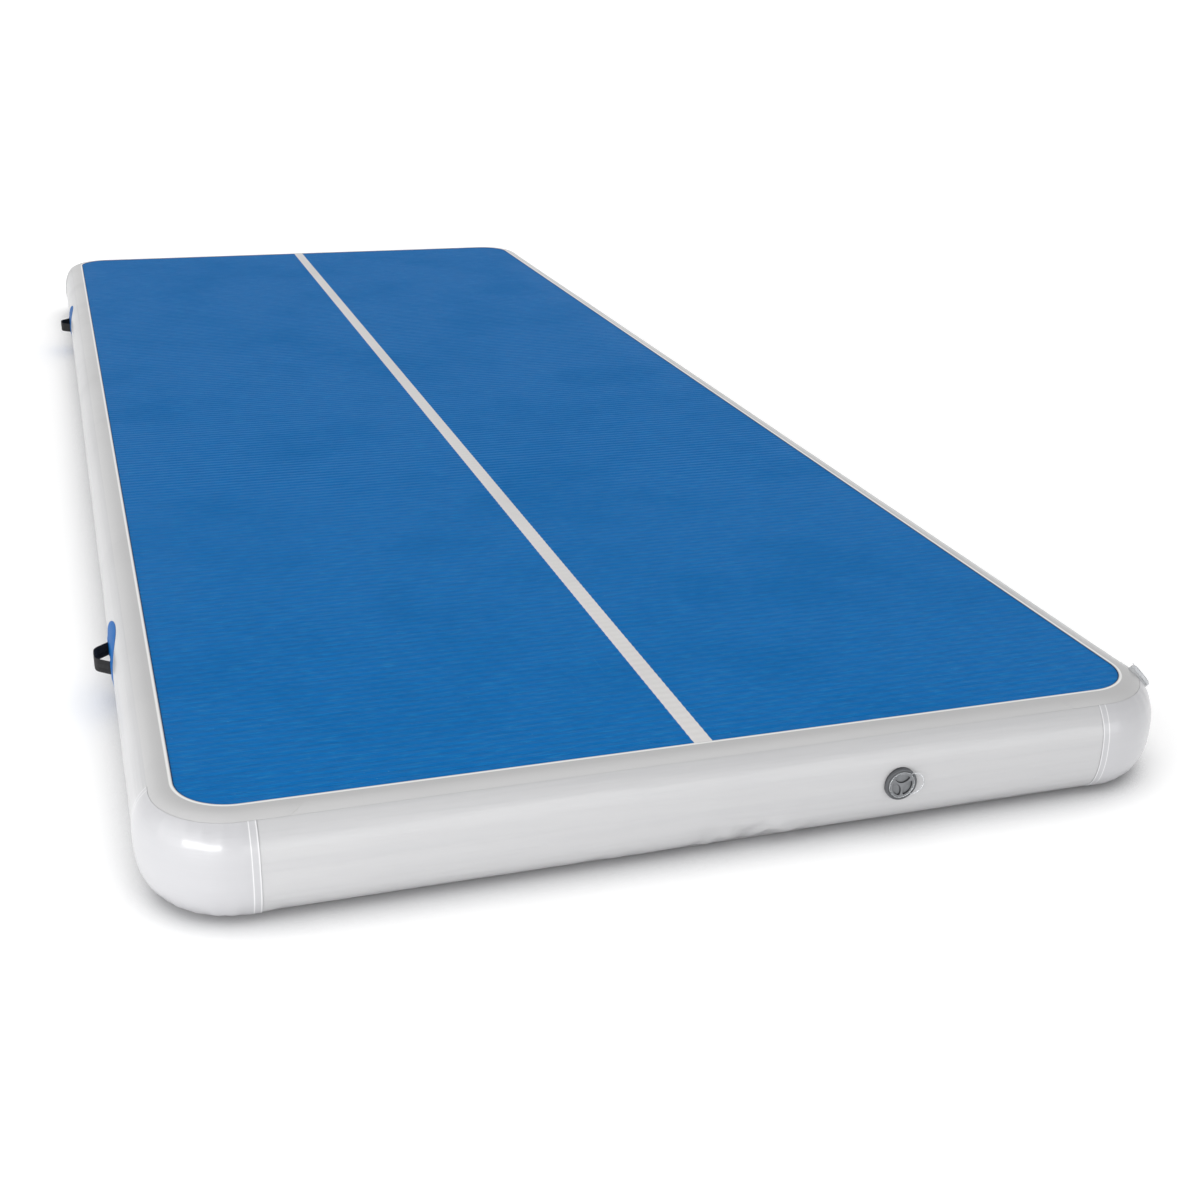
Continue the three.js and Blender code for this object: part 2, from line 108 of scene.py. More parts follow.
class Graph:
    """Short calls for building one node tree."""

    def __init__(self, tree: bpy.types.NodeTree) -> None:
        """Starts on a tree.

        Args:
            tree: The node tree to fill.
        """
        self.tree = tree

    def put(self, kind: str, inputs: dict | None = None, **settings: object) -> bpy.types.Node:
        """Adds a node.

        Args:
            kind: The node's type, without its ShaderNode prefix.
            inputs: Values or sockets by input name or number.
            settings: The node's own properties.

        Returns:
            The new node.
        """
        prefix = "" if kind.startswith("NodeGroup") else "ShaderNode"
        node = self.tree.nodes.new(prefix + kind)
        for key, value in settings.items():
            setattr(node, key, value)
        for key, value in (inputs or {}).items():
            self.feed(node.inputs[key], value)
        return node

    def feed(self, socket: bpy.types.NodeSocket, value: object) -> None:
        """Links a socket to an input, or sets the input's value.

        Args:
            socket: The input.
            value: A socket, a number or a sequence.
        """
        if isinstance(value, bpy.types.NodeSocket):
            self.tree.links.new(value, socket)
        elif socket.type == "RGBA":
            socket.default_value = (*value[:3], 1)
        else:
            socket.default_value = value

    def math(self, operation: str, *values: object) -> bpy.types.NodeSocket:
        """Adds one step of arithmetic.

        Args:
            operation: The operation's name.
            values: Its operands.

        Returns:
            The result's socket.
        """
        return self.put("Math", dict(enumerate(values)), operation=operation).outputs[0]

    def noise(self, vector: bpy.types.NodeSocket, scale: float, detail: float = 3) -> bpy.types.NodeSocket:
        """Adds fractal noise.

        Args:
            vector: Where to sample it.
            scale: Its features per metre.
            detail: Its octaves.

        Returns:
            The noise value's socket.
        """
        sockets = {"Vector": vector, "Scale": scale, "Detail": detail, "Roughness": 0.55}
        return self.put("TexNoise", sockets).outputs[0]

    def span(
        self, value: object, low: float, high: float, start: float = 0, end: float = 1
    ) -> bpy.types.NodeSocket:
        """Maps a range onto another, clamped and smooth.

        Args:
            value: The value to map.
            low: The value that gives start.
            high: The value that gives end.
            start: The first result.
            end: The last result.

        Returns:
            The result's socket.
        """
        sockets = {0: value, 1: low, 2: high, 3: start, 4: end}
        return self.put("MapRange", sockets, interpolation_type="SMOOTHSTEP").outputs[0]

    def stretch(self, vector: object, scale: tuple, turn: float = 0) -> bpy.types.NodeSocket:
        """Scales a vector, and turns it about Z.

        Args:
            vector: The vector's socket.
            scale: The three factors.
            turn: The turn in radians.

        Returns:
            The mapped vector's socket.
        """
        sockets = {"Vector": vector, "Scale": scale, "Rotation": (0, 0, turn)}
        return self.put("Mapping", sockets).outputs[0]

    def blend(self, share: object, first: object, second: object) -> bpy.types.NodeSocket:
        """Mixes two colours.

        Args:
            share: How much of the second one.
            first: A colour or socket.
            second: A colour or socket.

        Returns:
            The mixed colour's socket.
        """
        return self.put("Mix", {0: share, 6: first, 7: second}, data_type="RGBA").outputs[2]

    def group(self, effect: "Effect", inputs: dict) -> bpy.types.Node:
        """Adds a shared effect.

        Args:
            effect: Which one.
            inputs: Its inputs by name.

        Returns:
            The group node.
        """
        node = self.put("Group", node_tree=EffectLibrary.tree(effect))
        for key, value in inputs.items():
            self.feed(node.inputs[key], value)
        return node


class Effect(Enum):
    """The shader effects that several finishes share."""

    CLOTH_GRAIN = "cloth_grain"
    STITCH_ROWS = "stitch_rows"
    SCUFFS = "scuffs"
    DUST = "dust"
    FILM_FLOW = "film_flow"
    EDGE_LINE = "edge_line"
    WEBBING = "webbing"
    MOULDED = "moulded"


class EffectLibrary:
    """Builds each shared effect once, as a node group."""

    trees: dict[Effect, bpy.types.NodeTree] = {}

    @classmethod
    def tree(cls, effect: Effect) -> bpy.types.NodeTree:
        """Gives an effect's node group, building it on its first use.

        Args:
            effect: Which one.

        Returns:
            The node group.
        """
        if effect not in cls.trees:
            cls.trees[effect] = getattr(cls, effect.value)(effect.value)
            log.info("effect %s", effect.value)
        return cls.trees[effect]

    @staticmethod
    def start(name: str, inputs: dict, outputs: tuple) -> tuple:
        """Makes an empty group with its sockets.

        Args:
            name: The group's name.
            inputs: Each input's name, with its value or None for a vector.
            outputs: The names of its outputs.

        Returns:
            The tree, its graph, its input sockets by name and its output node.
        """
        tree = bpy.data.node_groups.new(name, "ShaderNodeTree")
        for key, value in inputs.items():
            kind = "NodeSocketVector" if value is None else "NodeSocketFloat"
            socket = tree.interface.new_socket(name=key, in_out="INPUT", socket_type=kind)
            if value is not None:
                socket.default_value = value
        for key in outputs:
            tree.interface.new_socket(name=key, in_out="OUTPUT", socket_type="NodeSocketFloat")
        graph = Graph(tree)
        source = graph.put("NodeGroupInput")
        return tree, graph, source.outputs, graph.put("NodeGroupOutput")

    @classmethod
    def cloth_grain(cls, name: str) -> bpy.types.NodeTree:
        """Base fabric showing through its coat: a basket weave under soft pitting.

        Args:
            name: The group's name.

        Returns:
            The node group.
        """
        tree, g, given, out = cls.start(name, {"Vector": None, "Pitch": 0.0012}, ("Height",))
        parts = g.put("SeparateXYZ", {0: given["Vector"]})
        waves = []
        for axis in (0, 1):
            cycles = g.math("DIVIDE", parts.outputs[axis], given["Pitch"])
            waves.append(g.math("SINE", g.math("MULTIPLY", cycles, 2 * math.pi)))
        weave = g.math("MULTIPLY", *waves)
        pits = g.noise(given["Vector"], 1400, 2)
        g.feed(out.inputs[0], g.math("ADD", g.math("MULTIPLY", weave, 0.3), pits))
        return tree

    @classmethod
    def stitch_rows(cls, name: str) -> bpy.types.NodeTree:
        """Fine cross ribs where the drop stitches pull the cloth down.

        Args:
            name: The group's name.

        Returns:
            The node group.
        """
        tree, g, given, out = cls.start(name, {"Vector": None, "Pitch": 0.0055}, ("Height", "Valley"))
        drift = g.math("MULTIPLY", g.noise(g.stretch(given["Vector"], (9, 60, 1)), 1, 2), 0.0016)
        along = g.math("ADD", g.put("SeparateXYZ", {0: given["Vector"]}).outputs[1], drift)
        wave = g.math("SINE", g.math("MULTIPLY", g.math("DIVIDE", along, given["Pitch"]), 2 * math.pi))
        uneven = g.span(g.noise(g.stretch(given["Vector"], (14, 130, 1)), 1, 3), 0.3, 0.7, 0.35, 1)
        g.feed(out.inputs["Height"], g.math("MULTIPLY", wave, uneven))
        g.feed(out.inputs["Valley"], g.math("MULTIPLY", g.span(wave, -0.2, -1), uneven))
        return tree

    @classmethod
    def scuffs(cls, name: str) -> bpy.types.NodeTree:
        """Short rubbed streaks in three directions, and small specks.

        Args:
            name: The group's name.

        Returns:
            The node group.
        """
        tree, g, given, out = cls.start(name, {"Vector": None, "Amount": 0.5}, ("Streaks", "Specks"))
        marks = []
        for scale, turn in (((4, 160, 1), 0.2), ((150, 5, 1), 0.5), ((6, 190, 1), -0.9)):
            lines = g.noise(g.stretch(given["Vector"], scale, turn), 1, 4)
            where = g.span(g.noise(given["Vector"], 2.3 + turn, 2), 0.52, 0.68)
            marks.append(g.math("MULTIPLY", g.span(lines, 0.6, 0.76), where))
        streaks = g.math("MAXIMUM", g.math("MAXIMUM", marks[0], marks[1]), marks[2])
        cells = g.put("TexVoronoi", {"Vector": given["Vector"], "Scale": 60}).outputs["Distance"]
        spread = g.span(g.noise(given["Vector"], 11, 3), 0.5, 0.72)
        specks = g.math("MULTIPLY", g.span(cells, 0.11, 0.04), spread)
        g.feed(out.inputs["Streaks"], g.math("MULTIPLY", streaks, given["Amount"]))
        g.feed(out.inputs["Specks"], g.math("MULTIPLY", specks, given["Amount"]))
        return tree

    @classmethod
    def dust(cls, name: str) -> bpy.types.NodeTree:
        """Cloudy handling marks, and patchy darkening near the floor.

        Args:
            name: The group's name.

        Returns:
            The node group.
        """
        tree, g, given, out = cls.start(name, {"Vector": None, "Floor": 0.05}, ("Cloud", "Grime"))
        cloud = g.span(g.noise(given["Vector"], 3.2, 5), 0.42, 0.75)
        height = g.put("SeparateXYZ", {0: given["Vector"]}).outputs[2]
        low = g.span(g.math("DIVIDE", height, given["Floor"]), 1, 0)
        patchy = g.span(g.noise(given["Vector"], 26, 4), 0.35, 0.7)
        g.feed(out.inputs["Cloud"], cloud)
        g.feed(out.inputs["Grime"], g.math("MULTIPLY", low, patchy))
        return tree

    @classmethod
    def film_flow(cls, name: str) -> bpy.types.NodeTree:
        """Long soft ripples that run with the wall.

        Args:
            name: The group's name.

        Returns:
            The node group.
        """
        tree, g, given, out = cls.start(name, {"Vector": None}, ("Height",))
        long = g.noise(g.stretch(given["Vector"], (1.4, 34, 1)), 1, 3)
        short = g.noise(g.stretch(given["Vector"], (7, 75, 1)), 1, 2)
        g.feed(out.inputs[0], g.math("ADD", long, g.math("MULTIPLY", short, 0.35)))
        return tree

    @classmethod
    def edge_line(cls, name: str) -> bpy.types.NodeTree:
        """A thin line that keeps one distance from a rounded outline.

        Args:
            name: The group's name.

        Returns:
            The node group.
        """
        sizes = {"Half width": 1.0, "Half length": 1.0, "Round": 0.1, "Inset": 0.003, "Width": 0.001}
        sizes = {"Vector": None, **sizes}
        tree, g, given, out = cls.start(name, sizes, ("Line", "Inside"))
        parts = g.put("SeparateXYZ", {0: given["Vector"]})
        over = []
        for axis, half in ((0, "Half width"), (1, "Half length")):
            core = g.math("SUBTRACT", given[half], given["Round"])
            over.append(g.math("SUBTRACT", g.math("ABSOLUTE", parts.outputs[axis]), core))
        squares = [g.math("POWER", g.math("MAXIMUM", value, 0.0), 2.0) for value in over]
        outer = g.math("SQRT", g.math("ADD", *squares))
        inner = g.math("MINIMUM", g.math("MAXIMUM", *over), 0.0)
        inside = g.math("SUBTRACT", given["Round"], g.math("ADD", outer, inner))
        away = g.math("ABSOLUTE", g.math("SUBTRACT", inside, given["Inset"]))
        g.feed(out.inputs["Line"], g.span(g.math("DIVIDE", away, given["Width"]), 1.0, 0.4))
        g.feed(out.inputs["Inside"], inside)
        return tree

    @classmethod
    def webbing(cls, name: str) -> bpy.types.NodeTree:
        """Herringbone webbing: slanted yarns that change direction across the width.

        Args:
            name: The group's name.

        Returns:
            The node group.
        """
        tree, g, given, out = cls.start(name, {"Vector": None, "Pitch": 0.0019}, ("Height", "Yarn"))
        parts = g.put("SeparateXYZ", {0: given["Vector"]})
        zigzag = g.math("PINGPONG", parts.outputs[1], 0.0075)
        slanted = g.math("DIVIDE", g.math("ADD", parts.outputs[0], zigzag), given["Pitch"])
        wave = g.math("SINE", g.math("MULTIPLY", slanted, 2 * math.pi))
        across = g.math("SINE", g.math("MULTIPLY", g.math("DIVIDE", parts.outputs[1], given["Pitch"]), 5.0))
        yarn = g.math("MULTIPLY", g.math("ADD", wave, 1), g.math("ADD", g.math("MULTIPLY", across, 0.3), 0.7))
        fuzz = g.math("MULTIPLY", g.noise(given["Vector"], 2600, 2), 0.5)
        g.feed(out.inputs["Height"], g.math("ADD", yarn, fuzz))
        g.feed(out.inputs["Yarn"], g.math("MULTIPLY", yarn, 0.5))
        return tree

    @classmethod
    def moulded(cls, name: str) -> bpy.types.NodeTree:
        """Fine spark texture of a moulded part, with faint flow marks.

        Args:
            name: The group's name.

        Returns:
            The node group.
        """
        tree, g, given, out = cls.start(name, {"Vector": None, "Scale": 1800.0}, ("Height", "Flow"))
        sockets = {"Vector": given["Vector"], "Scale": given["Scale"], "Detail": 2.0}
        g.feed(out.inputs["Height"], g.put("TexNoise", sockets).outputs[0])
        g.feed(out.inputs["Flow"], g.span(g.noise(given["Vector"], 75, 3), 0.35, 0.7))
        return tree


# Finishes


@dataclass(frozen=True)
class Finish:
    """How a surface looks. Each kind fills in its own shader."""

    name: str
    slot: str
    colour: Colour
    roughness: float = 0.5
    specular: float = 0.5

    def material(self) -> bpy.types.Material:
        """Gives the finish's material, building it on its first use.

        Returns:
            The material.
        """
        made = bpy.data.materials.get(self.name)
        if made is None:
            made = bpy.data.materials.new(self.name)
            made.use_nodes = True
            graph = Graph(made.node_tree)
            shader = made.node_tree.nodes["Principled BSDF"]
            graph.feed(shader.inputs["Base Color"], self.colour)
            shader.inputs["Roughness"].default_value = self.roughness
            shader.inputs["Specular IOR Level"].default_value = self.specular
            self.dress(graph, shader)
        return made

    def dress(self, g: Graph, shader: bpy.types.Node) -> None:
        """Adds the finish's own nodes.

        Args:
            g: The material's graph.
            shader: Its Principled node.
        """
        raise NotImplementedError

    @staticmethod
    def places(g: Graph) -> tuple:
        """Gives the two sets of coordinates that finishes use.

        Args:
            g: The material's graph.

        Returns:
            The object coordinates and the cloth's own, both in metres.
        """
        where = g.put("TexCoord")
        return where.outputs["Object"], where.outputs["UV"]

    @staticmethod
    def bump(g: Graph, shader: bpy.types.Node, *layers: tuple) -> None:
        """Stacks bumps, each with its height in metres.

        Args:
            g: The material's graph.
            shader: The node whose normal they drive.
            layers: Pairs of a height socket and the real height that 1 stands for.
        """
        normal = None
        for height, distance in layers:
            node = g.put("Bump", {"Height": height, "Distance": distance, "Strength": 1.0})
            if normal is not None:
                g.feed(node.inputs["Normal"], normal)
            normal = node.outputs[0]
        g.feed(shader.inputs["Normal"], normal)


@dataclass(frozen=True)
class WearSheetFinish(Finish):
    """Ribbed, matt, coated sheet that people tumble on."""

    worn: Colour = (0.02, 0.26, 0.56)
    half_width: float = 0.93
    half_length: float = 2.43
    corner: float = 0.105
    rub: float = 0.5

    def dress(self, g: Graph, shader: bpy.types.Node) -> None:
        """Adds ribs, scuffs, specks and the groove along the edge, with painted shade in the rib valleys and
        in the groove.

        Args:
            g: The material's graph.
            shader: Its Principled node.
        """
        place, cloth = self.places(g)
        rows = g.group(Effect.STITCH_ROWS, {"Vector": cloth})
        grain = g.group(Effect.CLOTH_GRAIN, {"Vector": cloth, "Pitch": 0.0011})
        marks = g.group(Effect.SCUFFS, {"Vector": cloth, "Amount": self.rub})
        dust = g.group(Effect.DUST, {"Vector": place})
        outline = {"Half width": self.half_width, "Half length": self.half_length, "Round": self.corner}
        line = g.group(Effect.EDGE_LINE, {"Vector": place, **outline, "Inset": 0.0038, "Width": 0.0022})
        dark = tuple(c * 0.72 for c in self.colour)
        ribs = g.group(Effect.STITCH_ROWS, {"Vector": cloth, "Pitch": 0.022})
        flecks = g.span(g.noise(g.stretch(cloth, (24, 190, 1)), 1, 5), 0.47, 0.72)
        threads = g.span(g.noise(g.stretch(cloth, (16, 900, 1)), 1, 2), 0.35, 0.65)
        # Painted shade: the valleys of the stitch rows and of the wider ribs are darkened; the darker blue
        # also serves the random thread and dust tones below.
        colour = g.blend(g.math("MULTIPLY", rows.outputs["Valley"], 0.85), self.colour, dark)
        colour = g.blend(g.math("MULTIPLY", ribs.outputs["Valley"], 0.4), colour, dark)
        colour = g.blend(g.math("MULTIPLY", flecks, 0.5), colour, self.worn)
        colour = g.blend(g.math("MULTIPLY", threads, 0.4), colour, dark)
        colour = g.blend(g.math("MULTIPLY", dust.outputs["Cloud"], 0.3), colour, dark)
        colour = g.blend(g.math("MULTIPLY", marks.outputs["Streaks"], 0.35), colour, self.worn)
        colour = g.blend(g.math("MULTIPLY", marks.outputs["Specks"], 0.5), colour, (0.32, 0.5, 0.64))
        # Painted shade: the groove along the sheet's edge is darkened nearly to black; the bump below cuts
        # the real groove.
        colour = g.blend(g.math("MULTIPLY", line.outputs["Line"], 0.75), colour, (0.01, 0.016, 0.03))
        g.feed(shader.inputs["Base Color"], colour)
        rough = g.math("ADD", g.math("MULTIPLY", dust.outputs["Cloud"], 0.08), self.roughness)
        rough = g.math("SUBTRACT", rough, g.math("MULTIPLY", marks.outputs["Streaks"], 0.1))
        g.feed(shader.inputs["Roughness"], rough)
        heights = (rows.outputs["Height"], 0.00035), (grain.outputs["Height"], 0.00005)
        self.bump(g, shader, (ribs.outputs["Height"], 0.0008), *heights, (line.outputs["Line"], -0.0004))


@dataclass(frozen=True)
class CoatedClothFinish(Finish):
    """Smooth coated cloth of the walls, tapes, patches and stripe."""

    shade: Colour = (0.3, 0.3, 0.32)
    gloss: float = 0.0
    gloss_roughness: float = 0.15
    ripple: float = 0.0006
    weave: float = 0.00002
    # How much the cloth darkens in patches towards the floor
    low_darkening: float = 0.35
    # How strongly the ripples' crests are darkened, as painted shade
    streaks: float = 0.0
    # How strongly the tape's rim over the wear sheet is brightened, as a painted highlight
    rim_highlight: float = 0.0
    # Where along the corner skin thin bright lines are painted as highlights on the welded edges
    weld_highlights: tuple = ()
    half_round: float = 3.3919

    def dress(self, g: Graph, shader: bpy.types.Node) -> None:
        """Adds weave, ripples, marks and patchy darkening near the floor, with a clear film over a glossy
        one. Painted shade darkens the ripples' crests, and painted highlights brighten the tape's rim and the
        welds.

        Args:
            g: The material's graph.
            shader: Its Principled node.
        """
        place, cloth = self.places(g)
        grain = g.group(Effect.CLOTH_GRAIN, {"Vector": cloth, "Pitch": 0.0014})
        flow = g.group(Effect.FILM_FLOW, {"Vector": cloth})
        marks = g.group(Effect.SCUFFS, {"Vector": cloth, "Amount": 0.7})
        dust = g.group(Effect.DUST, {"Vector": place, "Floor": 0.045})
        colour = g.blend(g.math("MULTIPLY", dust.outputs["Cloud"], 0.08), self.colour, self.shade)
        # Darker in patches towards the floor.
        colour = g.blend(g.math("MULTIPLY", dust.outputs["Grime"], self.low_darkening), colour, self.shade)
        colour = g.blend(g.math("MULTIPLY", marks.outputs["Streaks"], 0.1), colour, self.shade)
        colour = g.blend(g.math("MULTIPLY", marks.outputs["Specks"], 0.3), colour, self.shade)
        # Painted shade: the crests of the film's ripples are darkened, standing in for their shading.
        if self.streaks:
            band = g.span(flow.outputs["Height"], 0.5, 0.95)
            colour = g.blend(g.math("MULTIPLY", band, self.streaks), colour, self.shade)
        # Painted highlight: thin bright lines along the welded edges of the skin's overlap.
        if self.weld_highlights:
            run = g.math("PINGPONG", g.put("SeparateXYZ", {0: cloth}).outputs[0], self.half_round)
            for weld in self.weld_highlights:
                away = g.math("ABSOLUTE", g.math("SUBTRACT", run, weld))
                colour = g.blend(g.span(away, 0.0014, 0.0005, 0, 0.4), colour, (0.9, 0.9, 0.9))
        # Painted highlight: a bright line along the tape's raised rim, just past the wear sheet's edge.
        if self.rim_highlight:
            sheet = dict(zip(("Half width", "Half length", "Round"), SHEET_EDGE))
            line = g.group(Effect.EDGE_LINE, {"Vector": place, "Inset": -0.0004, "Width": 0.0032, **sheet})
            colour = g.blend(g.math("MULTIPLY", line.outputs["Line"], self.rim_highlight), colour, (0.95, 0.95, 0.94))
        g.feed(shader.inputs["Base Color"], colour)
        rough = g.math("ADD", g.math("MULTIPLY", dust.outputs["Cloud"], 0.1), self.roughness)
        rubbed = g.math("MULTIPLY", marks.outputs["Streaks"], 0.1)
        g.feed(shader.inputs["Roughness"], g.math("ADD", rough, rubbed))
        shader.inputs["Coat Weight"].default_value = self.gloss
        shader.inputs["Coat Roughness"].default_value = self.gloss_roughness
        self.bump(g, shader, (flow.outputs["Height"], self.ripple), (grain.outputs["Height"], self.weave))


@dataclass(frozen=True)
class WebbingFinish(Finish):
    """Woven polyester strap."""

    yarn: Colour = (0.018, 0.018, 0.019)

    def dress(self, g: Graph, shader: bpy.types.Node) -> None:
        """Adds the herringbone, fuzz and a soft sheen.

        Args:
            g: The material's graph.
            shader: Its Principled node.
        """
        place, cloth = self.places(g)
        weave = g.group(Effect.WEBBING, {"Vector": cloth})
        dust = g.group(Effect.DUST, {"Vector": place})
        colour = g.blend(weave.outputs["Yarn"], self.colour, self.yarn)
        colour = g.blend(g.math("MULTIPLY", dust.outputs["Cloud"], 0.12), colour, (0.06, 0.058, 0.055))
        g.feed(shader.inputs["Base Color"], colour)
        rough = g.span(weave.outputs["Yarn"], 0, 1, self.roughness, self.roughness - 0.2)
        g.feed(shader.inputs["Roughness"], rough)
        shader.inputs["Sheen Weight"].default_value = 0.1
        shader.inputs["Sheen Roughness"].default_value = 0.4
        self.bump(g, shader, (weave.outputs["Height"], 0.0002))


@dataclass(frozen=True)
class MouldedFinish(Finish):
    """Moulded plastic, rubber, wire or yarn, told apart by its numbers."""

    shade: Colour = (0.1, 0.1, 0.1)
    metal: float = 0.0
    clear: float = 0.0
    pits: float = 0.00002

    def dress(self, g: Graph, shader: bpy.types.Node) -> None:
        """Adds the moulded grain, flow marks and cloudy dust.

        Args:
            g: The material's graph.
            shader: Its Principled node.
        """
        place, _ = self.places(g)
        grain = g.group(Effect.MOULDED, {"Vector": place})
        dust = g.group(Effect.DUST, {"Vector": place})
        colour = g.blend(g.math("MULTIPLY", grain.outputs["Flow"], 0.35), self.colour, self.shade)
        colour = g.blend(g.math("MULTIPLY", dust.outputs["Cloud"], 0.15), colour, self.shade)
        g.feed(shader.inputs["Base Color"], colour)
        rough = g.math("MULTIPLY", grain.outputs["Flow"], 0.12)
        g.feed(shader.inputs["Roughness"], g.math("ADD", rough, self.roughness))
        shader.inputs["Metallic"].default_value = self.metal
        shader.inputs["Transmission Weight"].default_value = self.clear
        self.bump(g, shader, (grain.outputs["Height"], self.pits))


BLUE_TOP = WearSheetFinish("blue_top", "wear_sheet", (0.0, 0.158, 0.49), 0.54, 0.05)
BLUE_UNDERSIDE = WearSheetFinish("blue_underside", "wear_sheet", (0.0, 0.11, 0.35), 0.6, 0.3, rub=0.9)
BLUE_PATCH = CoatedClothFinish(
    "blue_patch", "strap_patch", (0.0, 0.105, 0.35), 0.5, 0.08, shade=(0.0, 0.05, 0.17), gloss=0.0
)
WALL_WHITE = CoatedClothFinish(
    "wall_white", "wall_cloth", (0.44, 0.44, 0.447), 0.36, gloss=0.4, ripple=0.0014, streaks=0.16
)
CORNER_WHITE = CoatedClothFinish(
    "corner_white", "corner_skin", (0.43, 0.43, 0.445), 0.3, gloss=0.5, gloss_roughness=0.16, ripple=0.0008,
    streaks=0.05, weld_highlights=(0.8065, 0.8185, 1.0734, 1.0854),
)
TAPE_WHITE = CoatedClothFinish(
    "tape_white", "seam_tape", (0.465, 0.463, 0.465), 0.32, gloss=0.35, ripple=0.0003, rim_highlight=0.7
)
STRIPE_WHITE = CoatedClothFinish(
    "stripe_white", "stripe", (0.7, 0.685, 0.68), 0.5, 0.3, ripple=0.0001, weave=0.00004, low_darkening=0.0
)
BASE_CLOTH = CoatedClothFinish("base_cloth", "base_cloth", (0.5, 0.52, 0.55), 0.7, 0.3, weave=0.0001)
BLACK_WEBBING = WebbingFinish("black_webbing", "webbing", (0.006, 0.006, 0.007), 0.85, 0.3)
GREY_PLASTIC = MouldedFinish(
    "grey_plastic", "valve_plastic", srgb(112, 114, 117), 0.3, shade=srgb(82, 84, 86)
)
DARK_PLASTIC = MouldedFinish(
    "dark_plastic", "valve_plastic", srgb(76, 78, 81), 0.34, shade=srgb(56, 58, 60)
)
# Darker plastic for the cap's pocket walls: painted shade of the recesses
POCKET_SHADE_PLASTIC = MouldedFinish(
    "pocket_shade_plastic", "valve_plastic", srgb(52, 54, 56), 0.4, shade=srgb(40, 41, 43)
)
MID_PLASTIC = MouldedFinish(
    "mid_plastic", "valve_plastic", srgb(150, 152, 155), 0.25, shade=srgb(118, 120, 122)
)
PALE_PLASTIC = MouldedFinish(
    "pale_plastic", "valve_plastic", srgb(205, 207, 210), 0.2, shade=srgb(170, 172, 175), clear=0.2
)
CLEAR_STRAP = MouldedFinish(
    "clear_strap", "clear_tether", (0.9, 0.92, 0.94), 0.06, shade=(0.75, 0.77, 0.8), clear=0.85
)
PALE_RUBBER = MouldedFinish(
    "pale_rubber", "valve_rubber", srgb(176, 178, 180), 0.5, shade=srgb(150, 151, 152)
)
VALVE_RUBBER = MouldedFinish(
    "valve_rubber", "valve_rubber", srgb(52, 54, 56), 0.7, shade=srgb(36, 37, 38)
)
SPRING_STEEL = MouldedFinish(
    "spring_steel", "spring_steel", (0.55, 0.56, 0.58), 0.25, shade=(0.4, 0.4, 0.41), metal=1
)
DROP_YARN = MouldedFinish(
    "drop_yarn", "drop_yarn", (0.75, 0.74, 0.7), 0.85, shade=(0.6, 0.58, 0.52), pits=0.0002
)


# Meshes


def closed(bm: bmesh.types.BMesh) -> None:
    """Turns every face outwards once the piece is closed.

    Args:
        bm: The piece's mesh.
    """
    bmesh.ops.remove_doubles(bm, verts=bm.verts, dist=1e-6)
    bmesh.ops.recalc_face_normals(bm, faces=bm.faces)


def thicken(bm: bmesh.types.BMesh, thickness: float, feather: tuple | None = None) -> None:
    """Grows an open skin into a closed sheet, away along its normals.

    Args:
        bm: The skin's mesh, its normals turned the way it grows.
        thickness: How far it grows.
        feather: The height of an edge that thins out, and the height where it is whole again.
    """
    bm.normal_update()
    away = bm.verts.layers.float_vector.new("away")
    for vert in bm.verts:
        share = smoothstep(*feather, vert.co.z) if feather else 1
        vert[away] = vert.normal * (0.15 + 0.85 * share)
    grown = bmesh.ops.extrude_face_region(bm, geom=bm.faces[:], use_keep_orig=True)
    for item in grown["geom"]:
        if isinstance(item, bmesh.types.BMVert):
            item.co += item[away] * thickness
    bm.verts.layers.float_vector.remove(away)


def make_object(
    name: str, bm: bmesh.types.BMesh, finish: Finish, body: str | None, nodes: tuple = (), sharp: float = 35
) -> bpy.types.Object:
    """Closes a mesh into a finished piece.

    Args:
        name: The piece's name.
        bm: Its mesh, in its final place, which is freed.
        finish: Its finish.
        body: The body it rides on, or None to leave it unattached.
        nodes: The CAD nodes that it stands for.
        sharp: The angle in degrees above which an edge stays crisp.

    Returns:
        The new object.
    """
    closed(bm)
    mesh = bpy.data.meshes.new(name)
    bm.to_mesh(mesh)
    bm.free()
    mesh.shade_smooth()
    mesh.set_sharp_from_angle(angle=math.radians(sharp))
    mesh.materials.append(finish.material())
    piece = bpy.data.objects.new(name, mesh)
    bpy.context.scene.collection.objects.link(piece)
    if body:
        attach(piece, body)
    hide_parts(*nodes)
    log.info("piece %s, %d faces", name, len(mesh.polygons))
    return piece


def punch(piece: bpy.types.Object, place: Matrix, radius: float, depth: float) -> None:
    """Cuts a round hole through a piece.

    Args:
        piece: The piece.
        place: The hole's middle, with its axis along Z.
        radius: The hole's radius.
        depth: How far it reaches each way.
    """
    bm = bmesh.new()
    sizes = {"radius1": radius, "radius2": radius, "depth": 2 * depth}
    bmesh.ops.create_cone(bm, cap_ends=True, segments=64, matrix=place, **sizes)
    mesh = bpy.data.meshes.new("hole")
    bm.to_mesh(mesh)
    bm.free()
    tool = bpy.data.objects.new("hole", mesh)
    bpy.context.scene.collection.objects.link(tool)
    cut = piece.modifiers.new("hole", "BOOLEAN")
    cut.object = tool
    cut.operation = "DIFFERENCE"
    cut.solver = "EXACT"
    made = bpy.data.meshes.new_from_object(piece.evaluated_get(bpy.context.evaluated_depsgraph_get()))
    piece.modifiers.clear()
    piece.data = made
    bpy.data.objects.remove(tool)
    bpy.data.meshes.remove(mesh)


@dataclass(frozen=True)
class Leg:
    """One stretch of a run: straight, or an arc where it turns."""

    length: float = 0.0
    turn: float = 0.0
    radius: float = 0.0
    steps: int = 1


@dataclass(frozen=True)
class Start:
    """Where a run starts, and the way it heads, seen from above."""

    x: float
    y: float
    heading: float


